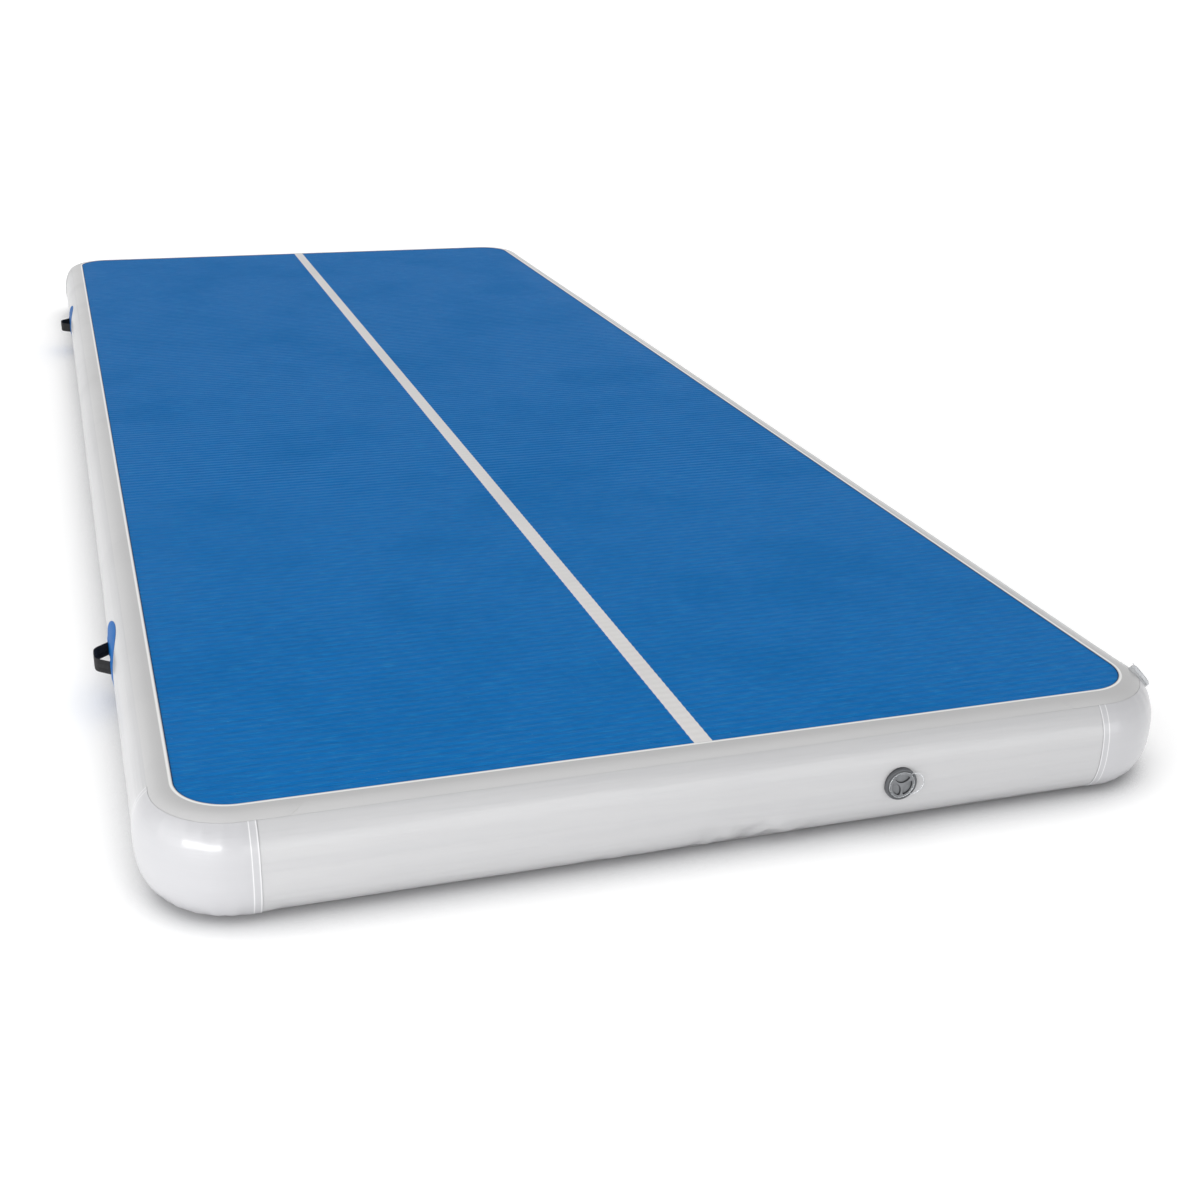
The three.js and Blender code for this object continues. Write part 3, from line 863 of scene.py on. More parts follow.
def sweep(
    bm: bmesh.types.BMesh, profile: list, start: Start, legs: list, loop: bool = False, slant: tuple = (0, 0)
) -> None:
    """Sweeps an upright profile along a flat run.

    Args:
        bm: The mesh to add to.
        profile: Pairs of how far left of the run a point is, and its height.
        start: Where the run starts.
        legs: The run's stretches.
        loop: True for a closed profile, whose ends are capped.
        slant: How far each end's top leads its foot, along the run.
    """
    left = Vector((math.cos(start.heading + RIGHT_ANGLE), math.sin(start.heading + RIGHT_ANGLE), 0))
    base = Vector((start.x, start.y, 0))
    ring = [bm.verts.new(base + left * out + Vector((0, 0, up))) for out, up in profile]
    pairs = list(zip(ring, ring[1:]))
    if loop:
        pairs.append((ring[-1], ring[0]))
    front = [bm.edges.new(pair) for pair in pairs]
    if loop:
        bm.faces.new(ring)
    heading = start.heading
    forward = Vector((math.cos(heading), math.sin(heading), 0))
    slanted = [(list(ring), forward * slant[0])]
    position = base
    for leg in legs:
        forward = Vector((math.cos(heading), math.sin(heading), 0))
        geometry = list({v for e in front for v in e.verts}) + front
        if leg.turn:
            aside = heading + math.copysign(RIGHT_ANGLE, leg.turn)
            centre = position + Vector((math.cos(aside), math.sin(aside), 0)) * leg.radius
            options = {"cent": centre, "axis": (0, 0, 1), "angle": leg.turn, "steps": leg.steps}
            made = bmesh.ops.spin(bm, geom=geometry, **options)
            position = centre + Matrix.Rotation(leg.turn, 3, "Z") @ (position - centre)
            heading += leg.turn
            front = [e for e in made["geom_last"] if isinstance(e, bmesh.types.BMEdge)]
        else:
            for _ in range(leg.steps):
                made = bmesh.ops.extrude_edge_only(bm, edges=front)
                front = [e for e in made["geom"] if isinstance(e, bmesh.types.BMEdge)]
                fresh = [v for v in made["geom"] if isinstance(v, bmesh.types.BMVert)]
                bmesh.ops.translate(bm, verts=fresh, vec=forward * (leg.length / leg.steps))
            position = position + forward * leg.length
    if loop:
        bmesh.ops.contextual_create(bm, geom=front)
    forward = Vector((math.cos(heading), math.sin(heading), 0))
    slanted.append((list({v for e in front for v in e.verts}), forward * slant[1]))
    low, high = min(up for _, up in profile), max(up for _, up in profile)
    for verts, shift in slanted:
        for vert in verts:
            vert.co += shift * ((vert.co.z - low) / (high - low))


# The mat's outline and wall


@dataclass(frozen=True)
class WallCurve:
    """The side wall's cross-section. An angle of 90 is its upper edge, 0 its middle and -90 its foot."""

    bulge: float = 0.07
    fullness: float = 2.3
    gap: float = 0.0003
    middle: float = 0.1006
    half_height: float = 0.0994

    def point(self, angle: float, lift: float = 0.0) -> tuple[float, float, float]:
        """Finds a point on the curve, or off it along its normal.

        Args:
            angle: Which point, in degrees.
            lift: How far it stands off.

        Returns:
            How far out and up it is, and the normal's tilt in radians.
        """
        across = max(math.cos(math.radians(angle)), 0)
        rise = math.sin(math.radians(angle))
        power = 2 / self.fullness
        reach = self.bulge - self.gap
        out_share = across**power
        up_share = math.copysign(abs(rise) ** power, rise)
        out_slope = out_share ** (self.fullness - 1) / reach
        up_slope = math.copysign(abs(up_share) ** (self.fullness - 1), up_share) / self.half_height
        size = math.hypot(out_slope, up_slope)
        out = self.gap + reach * out_share + lift * out_slope / size
        up = self.middle + self.half_height * up_share + lift * up_slope / size
        return out, up, math.atan2(up_slope, out_slope)

    def walk(self, distance: float) -> float:
        """Finds the angle a given way down from the upper edge.

        Args:
            distance: The way down, along the curve.

        Returns:
            The angle in degrees.
        """
        angle, run = 90.0, 0.0
        last = self.point(angle)
        while run < distance:
            angle -= 0.25
            here = self.point(angle)
            run += math.hypot(here[0] - last[0], here[1] - last[1])
            last = here
        return angle

    def profile(self, low: float, high: float, lift: float, rows: int) -> list[tuple[float, float]]:
        """Lists points from one angle up to another.

        Args:
            low: The first angle.
            high: The last angle.
            lift: How far they stand off the curve.
            rows: The number of steps between them.

        Returns:
            Pairs of how far out and up each point is.
        """
        angles = (low + (high - low) * i / rows for i in range(rows + 1))
        return [self.point(angle, lift)[:2] for angle in angles]

    def length(self, low: float = -90, high: float = 90) -> float:
        """Measures the curve between two angles.

        Args:
            low: The first angle.
            high: The last angle.

        Returns:
            The length along the curve.
        """
        points = self.profile(low, high, 0, 90)
        return sum(math.dist(a, b) for a, b in zip(points, points[1:]))


@dataclass(frozen=True)
class Corner:
    """One corner of the outline: its arc's middle, and the heading that enters it."""

    name: str
    x: float
    y: float
    heading: float


@dataclass(frozen=True)
class MatOutline:
    """The rounded rectangle that the wear sheets and the wall share."""

    half_width: float = 0.93
    half_length: float = 2.43
    corner_radius: float = 0.105
    crease_at: float = 0.08
    curve: WallCurve = field(default_factory=WallCurve)

    @property
    def core_x(self) -> float:
        """Half the width between the corner arcs' middles."""
        return self.half_width - self.corner_radius

    @property
    def core_y(self) -> float:
        """Half the length between the corner arcs' middles."""
        return self.half_length - self.corner_radius

    def corners(self) -> list[Corner]:
        """Lists the corners, clockwise seen from above.

        Returns:
            Front left, rear left, rear right and front right.
        """
        x, y = self.core_x, self.core_y
        return [
            Corner("front_left", -x, -y, math.pi),
            Corner("rear_left", -x, y, RIGHT_ANGLE),
            Corner("rear_right", x, y, 0.0),
            Corner("front_right", x, -y, -RIGHT_ANGLE),
        ]

    def station(self, corner: Corner, heading: float, along: float = 0.0) -> Start:
        """Finds a place on the outline at a corner.

        Args:
            corner: The corner.
            heading: The run's heading there.
            along: How far past that place, along the heading.

        Returns:
            The place and its heading.
        """
        side = heading + RIGHT_ANGLE
        x = corner.x + self.corner_radius * math.cos(side) + along * math.cos(heading)
        y = corner.y + self.corner_radius * math.sin(side) + along * math.sin(heading)
        return Start(x, y, heading)

    def half_width_at(self, y: float) -> float:
        """Finds how wide the sheet is at a station.

        Args:
            y: The station.

        Returns:
            Half the width there.
        """
        past = min(max(abs(y) - self.core_y, 0), self.corner_radius)
        return self.core_x + math.sqrt(self.corner_radius**2 - past**2)

    def unroll(self, co: Vector) -> tuple[float, float]:
        """Unrolls the wall flat.

        Args:
            co: A point on it.

        Returns:
            How far round from the front's middle it is, and how far up from the wall's middle.
        """
        radius = self.corner_radius + self.curve.bulge * 0.7
        arc = radius * RIGHT_ANGLE
        x, y = abs(co.x), co.y
        if x <= self.core_x:
            run = x if y < 0 else 2 * (self.core_x + arc + self.core_y) - x
            out = abs(y) - self.half_length
        elif abs(y) <= self.core_y:
            run = self.core_x + arc + self.core_y + y
            out = x - self.half_width
        else:
            dx, dy = x - self.core_x, abs(y) - self.core_y
            turn = math.atan2(dx, dy)
            run = self.core_x + radius * turn
            if y > 0:
                run = 2 * (self.core_x + arc + self.core_y) - run
            out = math.hypot(dx, dy) - self.corner_radius
        above = co.z - self.curve.middle
        up = above + math.copysign(max(self.curve.bulge - out, 0), above)
        return math.copysign(run, co.x), up

    def pucker(self, co: Vector) -> float:
        """Says how far the inflated cloth stands off its smooth shape.

        Args:
            co: A point on the wall.

        Returns:
            The distance, outwards.
        """
        run, up = self.unroll(co)
        edge = self.curve.length() / 2
        held = smoothstep(edge, edge - 0.03, abs(up))
        waves = noise.noise(Vector((run * 1.7, up * 21, 3.1))) * 0.0009
        waves += noise.noise(Vector((run * 5.5, up * 8, 7.7))) * 0.0007
        dx, dy = abs(co.x) - self.core_x, abs(co.y) - self.core_y
        in_corner = smoothstep(-0.06, 0.03, min(dx, dy))
        near_edge = smoothstep(0.035, 0.1, abs(up))
        crimp = math.sin(run * 210 + 5 * noise.noise(Vector((run * 9, up * 6, 1.3))))
        waves += in_corner * near_edge * crimp * 0.0007
        patches = noise.noise(Vector((run * 3.1, 0.4, 5.2))) + 0.12
        foot = smoothstep(-0.045, -0.085, up) * smoothstep(0.1, 0.35, patches)
        waves += foot * noise.noise(Vector((run * 26, up * 30, 9.4))) * 0.0026
        crease = smoothstep(0.17, 0.03, abs(run - self.crease_at)) * smoothstep(-0.03, -0.075, up)
        waves += crease * (noise.noise(Vector((run * 38, up * 22, 4.4))) * 0.01 - 0.0016)
        return held * waves

    def puckered(self, bm: bmesh.types.BMesh, quiet: list) -> None:
        """Moves a skin by the pucker, keeping it calm round fittings.

        Args:
            bm: The skin's mesh.
            quiet: Pairs of a fitting's middle and the radius it keeps calm.
        """
        bm.normal_update()
        moves = []
        for vert in bm.verts:
            calm = 1.0
            for middle, radius in quiet:
                calm *= smoothstep(radius, radius * 1.8, (vert.co - middle).length)
            moves.append(vert.normal * (self.pucker(vert.co) * calm))
        for vert, move in zip(bm.verts, moves):
            vert.co += move

    def lay_cloth(self, bm: bmesh.types.BMesh) -> None:
        """Gives a wall piece its cloth coordinates.

        Args:
            bm: The piece's mesh.
        """
        layer = bm.loops.layers.uv.verify()
        for face in bm.faces:
            side = math.copysign(1, face.calc_center_median().x)
            for loop in face.loops:
                run, up = self.unroll(loop.vert.co)
                loop[layer].uv = (abs(run) * side, up)


# Sub-assemblies


@dataclass
class WearSheet:
    """A ribbed sheet with rounded corners, one on top and one underneath."""

    outline: MatOutline
    top: float = 0.2001
    thickness: float = 0.0012
    rib_pitch: float = 0.022
    rib_depth: float = 0.0009
    rows_per_rib: int = 5
    columns: int = 14
    edge_roll: float = 0.0004

    def surface(self, x: float, y: float) -> float:
        """Finds the ribbed surface's height.

        Args:
            x: Across the mat.
            y: Along it.

        Returns:
            The height.
        """
        rib = 0.5 - 0.5 * math.cos(2 * math.pi * y / self.rib_pitch)
        swell = noise.noise(Vector((x * 3, y * 3, 2.2))) * 0.0003
        inside = min(self.outline.half_width_at(y) - abs(x), self.outline.half_length - abs(y))
        roll = smoothstep(0.016, 0.0, inside)
        return self.top - (rib * self.rib_depth + abs(swell)) * (1 - roll) - roll * self.edge_roll

    def build(self, name: str, finish: Finish, node: str) -> bpy.types.Object:
        """Builds the sheet.

        Args:
            name: The piece's name.
            finish: Its finish.
            node: The CAD node that it stands for.

        Returns:
            The sheet.
        """
        width, length = self.outline.half_width, self.outline.half_length
        rows = round(2 * length / self.rib_pitch) * self.rows_per_rib
        bm = bmesh.new()
        bmesh.ops.create_grid(bm, x_segments=self.columns, y_segments=rows, size=1)
        for vert in bm.verts:
            y = vert.co.y * length
            x = vert.co.x * self.outline.half_width_at(y)
            vert.co = (x, y, self.surface(x, y) - self.thickness)
        layer = bm.loops.layers.uv.verify()
        for face in bm.faces:
            for loop in face.loops:
                loop[layer].uv = loop.vert.co.xy
        thicken(bm, self.thickness)
        for vert in bm.verts:
            vert.co.z = max(vert.co.z, 0)
        piece = make_object(name, bm, finish, "mat", (node,))
        return piece

    def stripe(self, width: float, lift: float, thickness: float) -> bpy.types.Object:
        """Builds the stripe that follows the sheet's ribs.

        Args:
            width: The stripe's width.
            lift: How far its underside is above the sheet.
            thickness: Its thickness.

        Returns:
            The stripe.
        """
        length = self.outline.half_length
        rows = round(2 * length / self.rib_pitch) * self.rows_per_rib
        bm = bmesh.new()
        bmesh.ops.create_grid(bm, x_segments=5, y_segments=rows, size=1)
        for vert in bm.verts:
            x, y = vert.co.x * width / 2, vert.co.y * length
            vert.co = (x, y, self.surface(x, y) + lift)
        layer = bm.loops.layers.uv.verify()
        for face in bm.faces:
            for loop in face.loops:
                loop[layer].uv = loop.vert.co.xy
        thicken(bm, thickness)
        piece = make_object("centre_stripe_cloth", bm, STRIPE_WHITE, "mat", ("centre_stripe",))
        return piece


@dataclass
class SideWalls:
    """Wall cloth, corner skins and seam tapes, all on one curve."""

    outline: MatOutline
    valves: list
    wall_thickness: float = 0.0012
    skin_thickness: float = 0.0009
    tape_thickness: float = 0.0005
    tape_width: float = 0.04
    tape_run: float = 0.075
    skin_run: float = 0.02
    tape_slant: float = 0.03
    lip: float = 0.0034
    step: float = 0.014
    rows: int = 26
    corner_steps: int = 30
    strap_spots: list = field(default_factory=list)

    def quiet(self) -> list:
        """Lists the places that fittings keep calm.

        Returns:
            Pairs of a middle and a radius.
        """
        spots = [(valve.place.translation, valve.flange) for valve in self.valves]
        return spots + [(spot, 0.1) for spot in self.strap_spots]

    def skin(
        self,
        name: str,
        finish: Finish,
        node: str,
        angles: tuple,
        lift: float,
        thickness: float,
        start: Start,
        legs: list,
        slant: tuple = (0, 0),
        lip: float = 0.0,
    ) -> bpy.types.Object:
        """Builds one skin on the wall's curve.

        Args:
            name: The piece's name.
            finish: Its finish.
            node: The CAD node that it stands for.
            angles: The lowest and highest angle that it covers.
            lift: How far its inside is off the curve.
            thickness: Its thickness.
            start: Where its run starts.
            legs: The run's stretches.
            slant: How far each end's top leads its foot.
            lip: How far it reaches in over the wear sheet.

        Returns:
            The skin.
        """
        curve = self.outline.curve
        low, high = angles
        rows = max(4, round(self.rows * (high - low) / 180))
        profile = curve.profile(low, high, lift, rows)
        if lip:
            out, up = profile[-1]
            profile += [(out - lip * 0.5, up + 0.0001), (out - lip, up)]
        bm = bmesh.new()
        sweep(bm, profile, start, legs, slant=slant)
        bmesh.ops.recalc_face_normals(bm, faces=bm.faces)
        bm.faces.ensure_lookup_table()
        face = max(bm.faces, key=lambda f: -abs(f.calc_center_median().z - curve.middle))
        middle = face.calc_center_median()
        heart = Vector((middle.x * 0.8, middle.y * 0.95, middle.z))
        if face.normal.dot(middle - heart) < 0:
            bmesh.ops.reverse_faces(bm, faces=bm.faces)
        self.outline.puckered(bm, self.quiet())
        self.outline.lay_cloth(bm)
        edge = profile[0][1] if lip else profile[-1][1]
        soft = "end_" in node or "side_" in node
        thicken(bm, thickness, (edge, edge + (0.012 if lip else -0.006)) if soft and "tape" in node else None)
        piece = make_object(name, bm, finish, "mat", (node,))
        for valve in self.valves:
            if node in valve.pierces:
                punch(piece, valve.place, valve.pierces[node], valve.depth)
        curve.length(low, high)
        return piece

    def build(self) -> list[bpy.types.Object]:
        """Builds every wall, corner skin and tape.

        Returns:
            The pieces.
        """
        outline, gap = self.outline, self.outline.curve.gap
        tape_angle = outline.curve.walk(self.tape_width)
        skin_top = outline.curve.walk(self.tape_width + gap)
        corners = outline.corners()
        sides = ("front_end", "left_side", "rear_end", "right_side")
        made = []
        for index, corner in enumerate(corners):
            before, side = corners[index - 1], sides[index]
            length = 2 * (outline.core_x if index % 2 == 0 else outline.core_y)
            bend = Leg(turn=-RIGHT_ANGLE, radius=outline.corner_radius, steps=self.corner_steps)
            skin, tape = self.skin_thickness, self.tape_thickness

            def straight(short: float) -> tuple:
                """Gives the side's run, stopping short at both ends."""
                steps = 2 * round((length - 2 * short) / self.step / 2)
                return outline.station(before, corner.heading, short), [Leg(length - 2 * short, steps=steps)]

            def round_corner(run: float) -> tuple:
                """Gives the corner's run, with a straight before and after it."""
                steps = max(2, round(run / self.step))
                ends = [Leg(run, steps=steps)] if run else []
                return outline.station(corner, corner.heading, -run), [*ends, bend, *ends]

            lean = (self.tape_slant, -self.tape_slant)
            back = (-self.tape_slant, self.tape_slant)
            full, over, under = (-90, 90), (tape_angle, 90), (-90, -tape_angle - 1)
            middle = (-tape_angle, skin_top)
            thick, lip = self.wall_thickness, self.lip
            inner_run, outer_run = self.tape_run - gap / 2, self.tape_run + gap / 2
            around = f"{corner.name}_corner"
            rows = [
                (f"{side}_wall", WALL_WHITE, full, -thick, thick, straight(gap / 2), (0, 0), 0),
                (f"{side}_top_tape", TAPE_WHITE, over, gap, tape, straight(outer_run), lean, lip),
                (f"{side}_bottom_tape", TAPE_WHITE, under, gap, tape, straight(gap / 2), (0, 0), 0),
                (f"{around}_wall", WALL_WHITE, full, -thick, thick, round_corner(0), (0, 0), 0),
                (f"{around}_patch", CORNER_WHITE, middle, gap, skin, round_corner(self.skin_run), (0, 0), 0),
                (f"{around}_tape", TAPE_WHITE, over, gap, tape, round_corner(inner_run), back, lip),
            ]
            for node, finish, angles, lift, thickness, (start, legs), slant, over_sheet in rows:
                sizes = (angles, lift, thickness, start, legs, slant, over_sheet)
                made.append(self.skin(f"{node}_cloth", finish, node, *sizes))
        return made


@dataclass
class CarryingStrap:
    """A webbing loop on a welded oval patch."""

    outline: MatOutline
    side: str
    place: str
    y: float
    width: float = 0.03
    thickness: float = 0.0024
    foot_span: float = 0.105
    top_span: float = 0.05
    stand_off: float = 0.033
    bend_trim: float = 0.0125
    patch_length: float = 0.22
    patch_height: float = 0.146
    patch_thickness: float = 0.0009
    edge_sink: float = 0.0006
    tuck: float = 0.038

    @property
    def sign(self) -> int:
        """Which way is outwards along X."""
        return 1 if self.side == "right" else -1

    @property
    def node(self) -> str:
        """The strap's CAD node, which is its body too."""
        return f"{self.side}_{self.place}_strap"

    @property
    def face_x(self) -> float:
        """How far out the patch's face is."""
        curve = self.outline.curve
        return self.outline.half_width + curve.bulge + curve.gap + self.patch_thickness

    def patch(self) -> bpy.types.Object:
        """Builds the oval patch, raised a little where the webbing runs under it.

        Returns:
            The patch.
        """
        bm = bmesh.new()
        bmesh.ops.create_circle(bm, segments=96, radius=1)
        ring, radius = bm.edges[:], 1.0
        for new_radius in (0.985, 0.96, *(0.9 - 0.05 * i for i in range(18))):
            made = bmesh.ops.extrude_edge_only(bm, edges=ring)["geom"]
            ring = [e for e in made if isinstance(e, bmesh.types.BMEdge)]
            verts = [v for v in made if isinstance(v, bmesh.types.BMVert)]
            bmesh.ops.scale(bm, verts=verts, vec=(new_radius / radius,) * 3)
            radius = new_radius
        bmesh.ops.contextual_create(bm, geom=ring)
        curve = self.outline.curve
        table = [curve.point(angle, curve.gap) for angle in range(-90, 91)]
        runs = [0.0]
        for low, high in zip(table, table[1:]):
            runs.append(runs[-1] + math.dist(low[:2], high[:2]))
        layer = bm.loops.layers.uv.verify()
        for face in bm.faces:
            for loop in face.loops:
                co = loop.vert.co
                loop[layer].uv = (co.x * self.patch_length / 2, co.y * self.patch_height / 2)
        for vert in bm.verts:
            along, up = vert.co.x * self.patch_length / 2, vert.co.y * self.patch_height / 2
            radius = math.hypot(vert.co.x, vert.co.y)
            want = runs[90] + up
            index = next(i for i, run in enumerate(runs) if run >= want)
            share = (want - runs[index - 1]) / (runs[index] - runs[index - 1])
            out, height, tilt = (a + (b - a) * share for a, b in zip(table[index - 1], table[index]))
            foot = self.foot_span / 2
            across = smoothstep(self.width * 0.62, self.width * 0.42, abs(up))
            tongue = smoothstep(foot - 0.004, foot + 0.002, abs(along))
            tongue *= smoothstep(foot + self.tuck, foot + 0.03, abs(along))
            rise = across * tongue * 0.0016
            rise += 0.0002 * noise.noise(Vector((along * 40, up * 40, self.y))) * smoothstep(1, 0.9, radius)
            rise -= self.edge_sink * smoothstep(0.93, 1, radius)
            x = self.outline.half_width + out + rise * math.cos(tilt)
            vert.co = (self.sign * x, self.y + along, height + rise * math.sin(tilt))
        bmesh.ops.recalc_face_normals(bm, faces=bm.faces)
        probe = max(bm.faces, key=lambda f: self.sign * f.calc_center_median().x)
        if probe.normal.x * self.sign < 0:
            bmesh.ops.reverse_faces(bm, faces=bm.faces)
        thicken(bm, self.patch_thickness)
        piece = make_object(f"{self.node}_oval", bm, BLUE_PATCH, "mat", (f"{self.node}_patch",))
        return piece

    def collars(self) -> bpy.types.Object:
        """Builds the two welded collars that the webbing comes out through.

        Returns:
            The collars.
        """
        bm = bmesh.new()
        for end in (-1, 1):
            made = bmesh.ops.create_cube(bm, size=1)["verts"]
            size = (0.0016, self.thickness + 0.007, self.width + 0.007)
            bmesh.ops.scale(bm, verts=made, vec=size)
            y = self.y + end * (self.foot_span / 2 + 0.0008)
            place = (self.sign * (self.face_x + 0.0002), y, self.outline.curve.middle)
            bmesh.ops.translate(bm, verts=made, vec=place)
            edges = list({e for v in made for e in v.link_edges})
            upright = [e for e in edges if abs(e.verts[0].co.x - e.verts[1].co.x) > 1e-4]
            bmesh.ops.bevel(bm, geom=upright, offset=0.004, segments=4, affect="EDGES", profile=0.5)
        outer = [e for e in bm.edges if all(v.co.x * self.sign > self.face_x for v in e.verts)]
        bmesh.ops.bevel(bm, geom=outer, offset=0.0006, segments=2, affect="EDGES", profile=0.5)
        return make_object(f"{self.node}_collars", bm, BLUE_PATCH, "mat")

    def webbing(self) -> bpy.types.Object:
        """Builds the webbing loop.

        Returns:
            The strap.
        """
        half, foot, top = self.thickness / 2, self.foot_span / 2, self.top_span / 2
        reach = self.stand_off - half
        rows = 12
        edge = self.width / 2
        middle = self.outline.curve.middle
        ribs = [(-edge + 2 * edge * i / rows, half - (0.00015 if i % 2 else 0)) for i in range(1, rows)]
        near = [(-out, middle + up) for up, out in ribs]
        far = [(out, middle + up) for up, out in reversed(ribs)]
        ends = [(0.0004, middle + edge), (-0.0004, middle + edge)]
        feet = [(-0.0004, middle - edge), (0.0004, middle - edge)]
        profile = [*feet[:1], *near, *ends[::-1], *far, *feet[1:]]
        lean = math.atan2(foot - top, reach)
        leg = math.hypot(foot - top, reach) - self.bend_trim
        turn = RIGHT_ANGLE - lean
        radius = self.bend_trim / math.tan(turn / 2)
        rise = Leg(leg, steps=12)
        bend = Leg(turn=turn * self.sign, radius=radius, steps=8)
        flat = Leg(2 * (top - self.bend_trim), steps=8)
        tail = 0.001
        heading = lean if self.sign > 0 else math.pi - lean
        x = self.sign * (self.face_x + self.outline.curve.gap) - tail * math.cos(heading)
        start = Start(x, self.y - foot - tail * math.sin(heading), heading)
        bm = bmesh.new()
        sweep(bm, profile, start, [Leg(tail), rise, bend, flat, bend, rise, Leg(tail)], loop=True)
        layer = bm.loops.layers.uv.verify()
        for face in bm.faces:
            for loop in face.loops:
                co = loop.vert.co
                out = abs(co.x) - self.face_x
                loop[layer].uv = (co.y - self.y + (out if co.y < self.y else -out), co.z)
        piece = make_object(f"{self.node}_webbing", bm, BLACK_WEBBING, None, (self.node,))
        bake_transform(piece)
        return piece

    def build(self) -> list[bpy.types.Object]:
        """Builds the patch, its collars and the loop.

        Returns:
            The pieces.
        """
        return [self.patch(), self.collars(), self.webbing()]


@dataclass
class AirValve:
    """A screw-in valve: body with a spider, sprung stem, tethered cap. Local +Z points out of the wall."""

    name: str
    place: Matrix
    flange: float
    rim_wall: float
    bore: float
    depth: float
    plug: float
    button: float
    loop: float
    pierces: dict
    body_finish: MouldedFinish = DARK_PLASTIC
    cap_finish: MouldedFinish = GREY_PLASTIC
    face_low: float = 0.0015
    face_high: float = 0.004
    rim_top: float = 0.008
    cap_top: float = 0.0093
    pocket_radius: float = 0.88
    pocket_offset: float = 1.11
    barrel_wall: float = 0.005
    stem_radius: float = 0.0029
    clear: float = 0.0003
    segments: int = 72

    def lathe(self, points: list, segments: int | None = None) -> bmesh.types.BMesh:
        """Turns a closed profile about the valve's axis.

        Args:
            points: Pairs of a radius and a height.
            segments: The number of steps round, or None for the usual.

        Returns:
            The turned mesh, in local coordinates.
        """
        bm = bmesh.new()
        ring = [bm.verts.new((radius, 0, height)) for radius, height in points]
        edges = [bm.edges.new(pair) for pair in zip(ring, ring[1:])]
        if points[0][0] > 0:
            edges.append(bm.edges.new((ring[-1], ring[0])))
        options = {"cent": (0, 0, 0), "axis": (0, 0, 1), "angle": 2 * math.pi, "use_merge": True}
        bmesh.ops.spin(bm, geom=ring + edges, steps=segments or self.segments, **options)
        bmesh.ops.remove_doubles(bm, verts=bm.verts, dist=1e-6)
        return bm

    def add_block(self, bm: bmesh.types.BMesh, low: tuple, high: tuple, turn: float, soften: float) -> None:
        """Adds a rounded block, turned about the axis.

        Args:
            bm: The mesh to add to.
            low: Its lowest corner.
            high: Its highest corner.
            turn: The turn in radians.
            soften: Its edges' rounding.
        """
        made = bmesh.ops.create_cube(bm, size=1)["verts"]
        bmesh.ops.scale(bm, verts=made, vec=[b - a for a, b in zip(low, high)])
        bmesh.ops.translate(bm, verts=made, vec=[(a + b) / 2 for a, b in zip(low, high)])
        bmesh.ops.rotate(bm, verts=made, cent=(0, 0, 0), matrix=Matrix.Rotation(turn, 3, "Z"))
        edges = list({e for v in made for e in v.link_edges})
        bmesh.ops.bevel(bm, geom=edges, offset=soften, segments=2, affect="EDGES", profile=0.5)

    def finish(
        self, part: str, bm: bmesh.types.BMesh, finish: Finish, body: str, node: str
    ) -> bpy.types.Object:
        """Puts a local mesh in its place.

        Args:
            part: The part's name.
            bm: Its mesh in local coordinates.
            finish: Its finish.
            body: The body it rides on.
            node: The CAD node that it stands for.

        Returns:
            The piece.
        """
        bmesh.ops.transform(bm, matrix=self.place, verts=bm.verts)
        return make_object(f"{self.name}_{part}", bm, finish, body, (f"{self.name}_valve_{node}",), 30)

    def body(self) -> bpy.types.Object:
        """Builds the flange, rim, barrel and the spider that guides the stem.

        Returns:
            The body.
        """
        rim = self.flange - self.rim_wall
        barrel = self.bore + self.barrel_wall
        top, low, face = self.rim_top, self.face_low, self.face_high
        profile = [
            (self.bore, -self.depth), (barrel - 0.0006, -self.depth), (barrel, -self.depth + 0.0006),
            (barrel, low), (self.flange - 0.0006, low), (self.flange, low + 0.0005),
            (self.flange, top - 0.0022), (self.flange - 0.0004, top - 0.0010),
            (self.flange - 0.0012, top - 0.0003), (self.flange - 0.0022, top),
            (rim + 0.0012, top), (rim + 0.0003, top - 0.0004), (rim, top - 0.0012), (rim, face + 0.0004),
            (rim - 0.0004, face), (self.bore + 0.0008, face), (self.bore, face - 0.0008),
        ]
        bm = self.lathe(profile)
        hub_low = -self.depth + 0.006
        hub_high, hub = hub_low + 0.004, self.stem_radius * 2.1
        inner = self.stem_radius + self.clear
        hub_bm = self.lathe([
            (inner, hub_low), (hub - 0.0005, hub_low), (hub, hub_low + 0.0005),
            (hub, hub_high - 0.0005), (hub - 0.0005, hub_high), (inner, hub_high),
        ], 40)
        mesh = bpy.data.meshes.new("hub")
        hub_bm.to_mesh(mesh)
        hub_bm.free()
        bm.from_mesh(mesh)
        bpy.data.meshes.remove(mesh)
        low_corner = (hub - 0.001, -0.0015, hub_low + 0.0005)
        high_corner = (self.bore + 0.001, 0.0015, hub_high - 0.0005)
        for turn in THIRDS:
            self.add_block(bm, low_corner, high_corner, turn, 0.0004)
        return self.finish("moulded_body", bm, self.body_finish, "mat", "body")

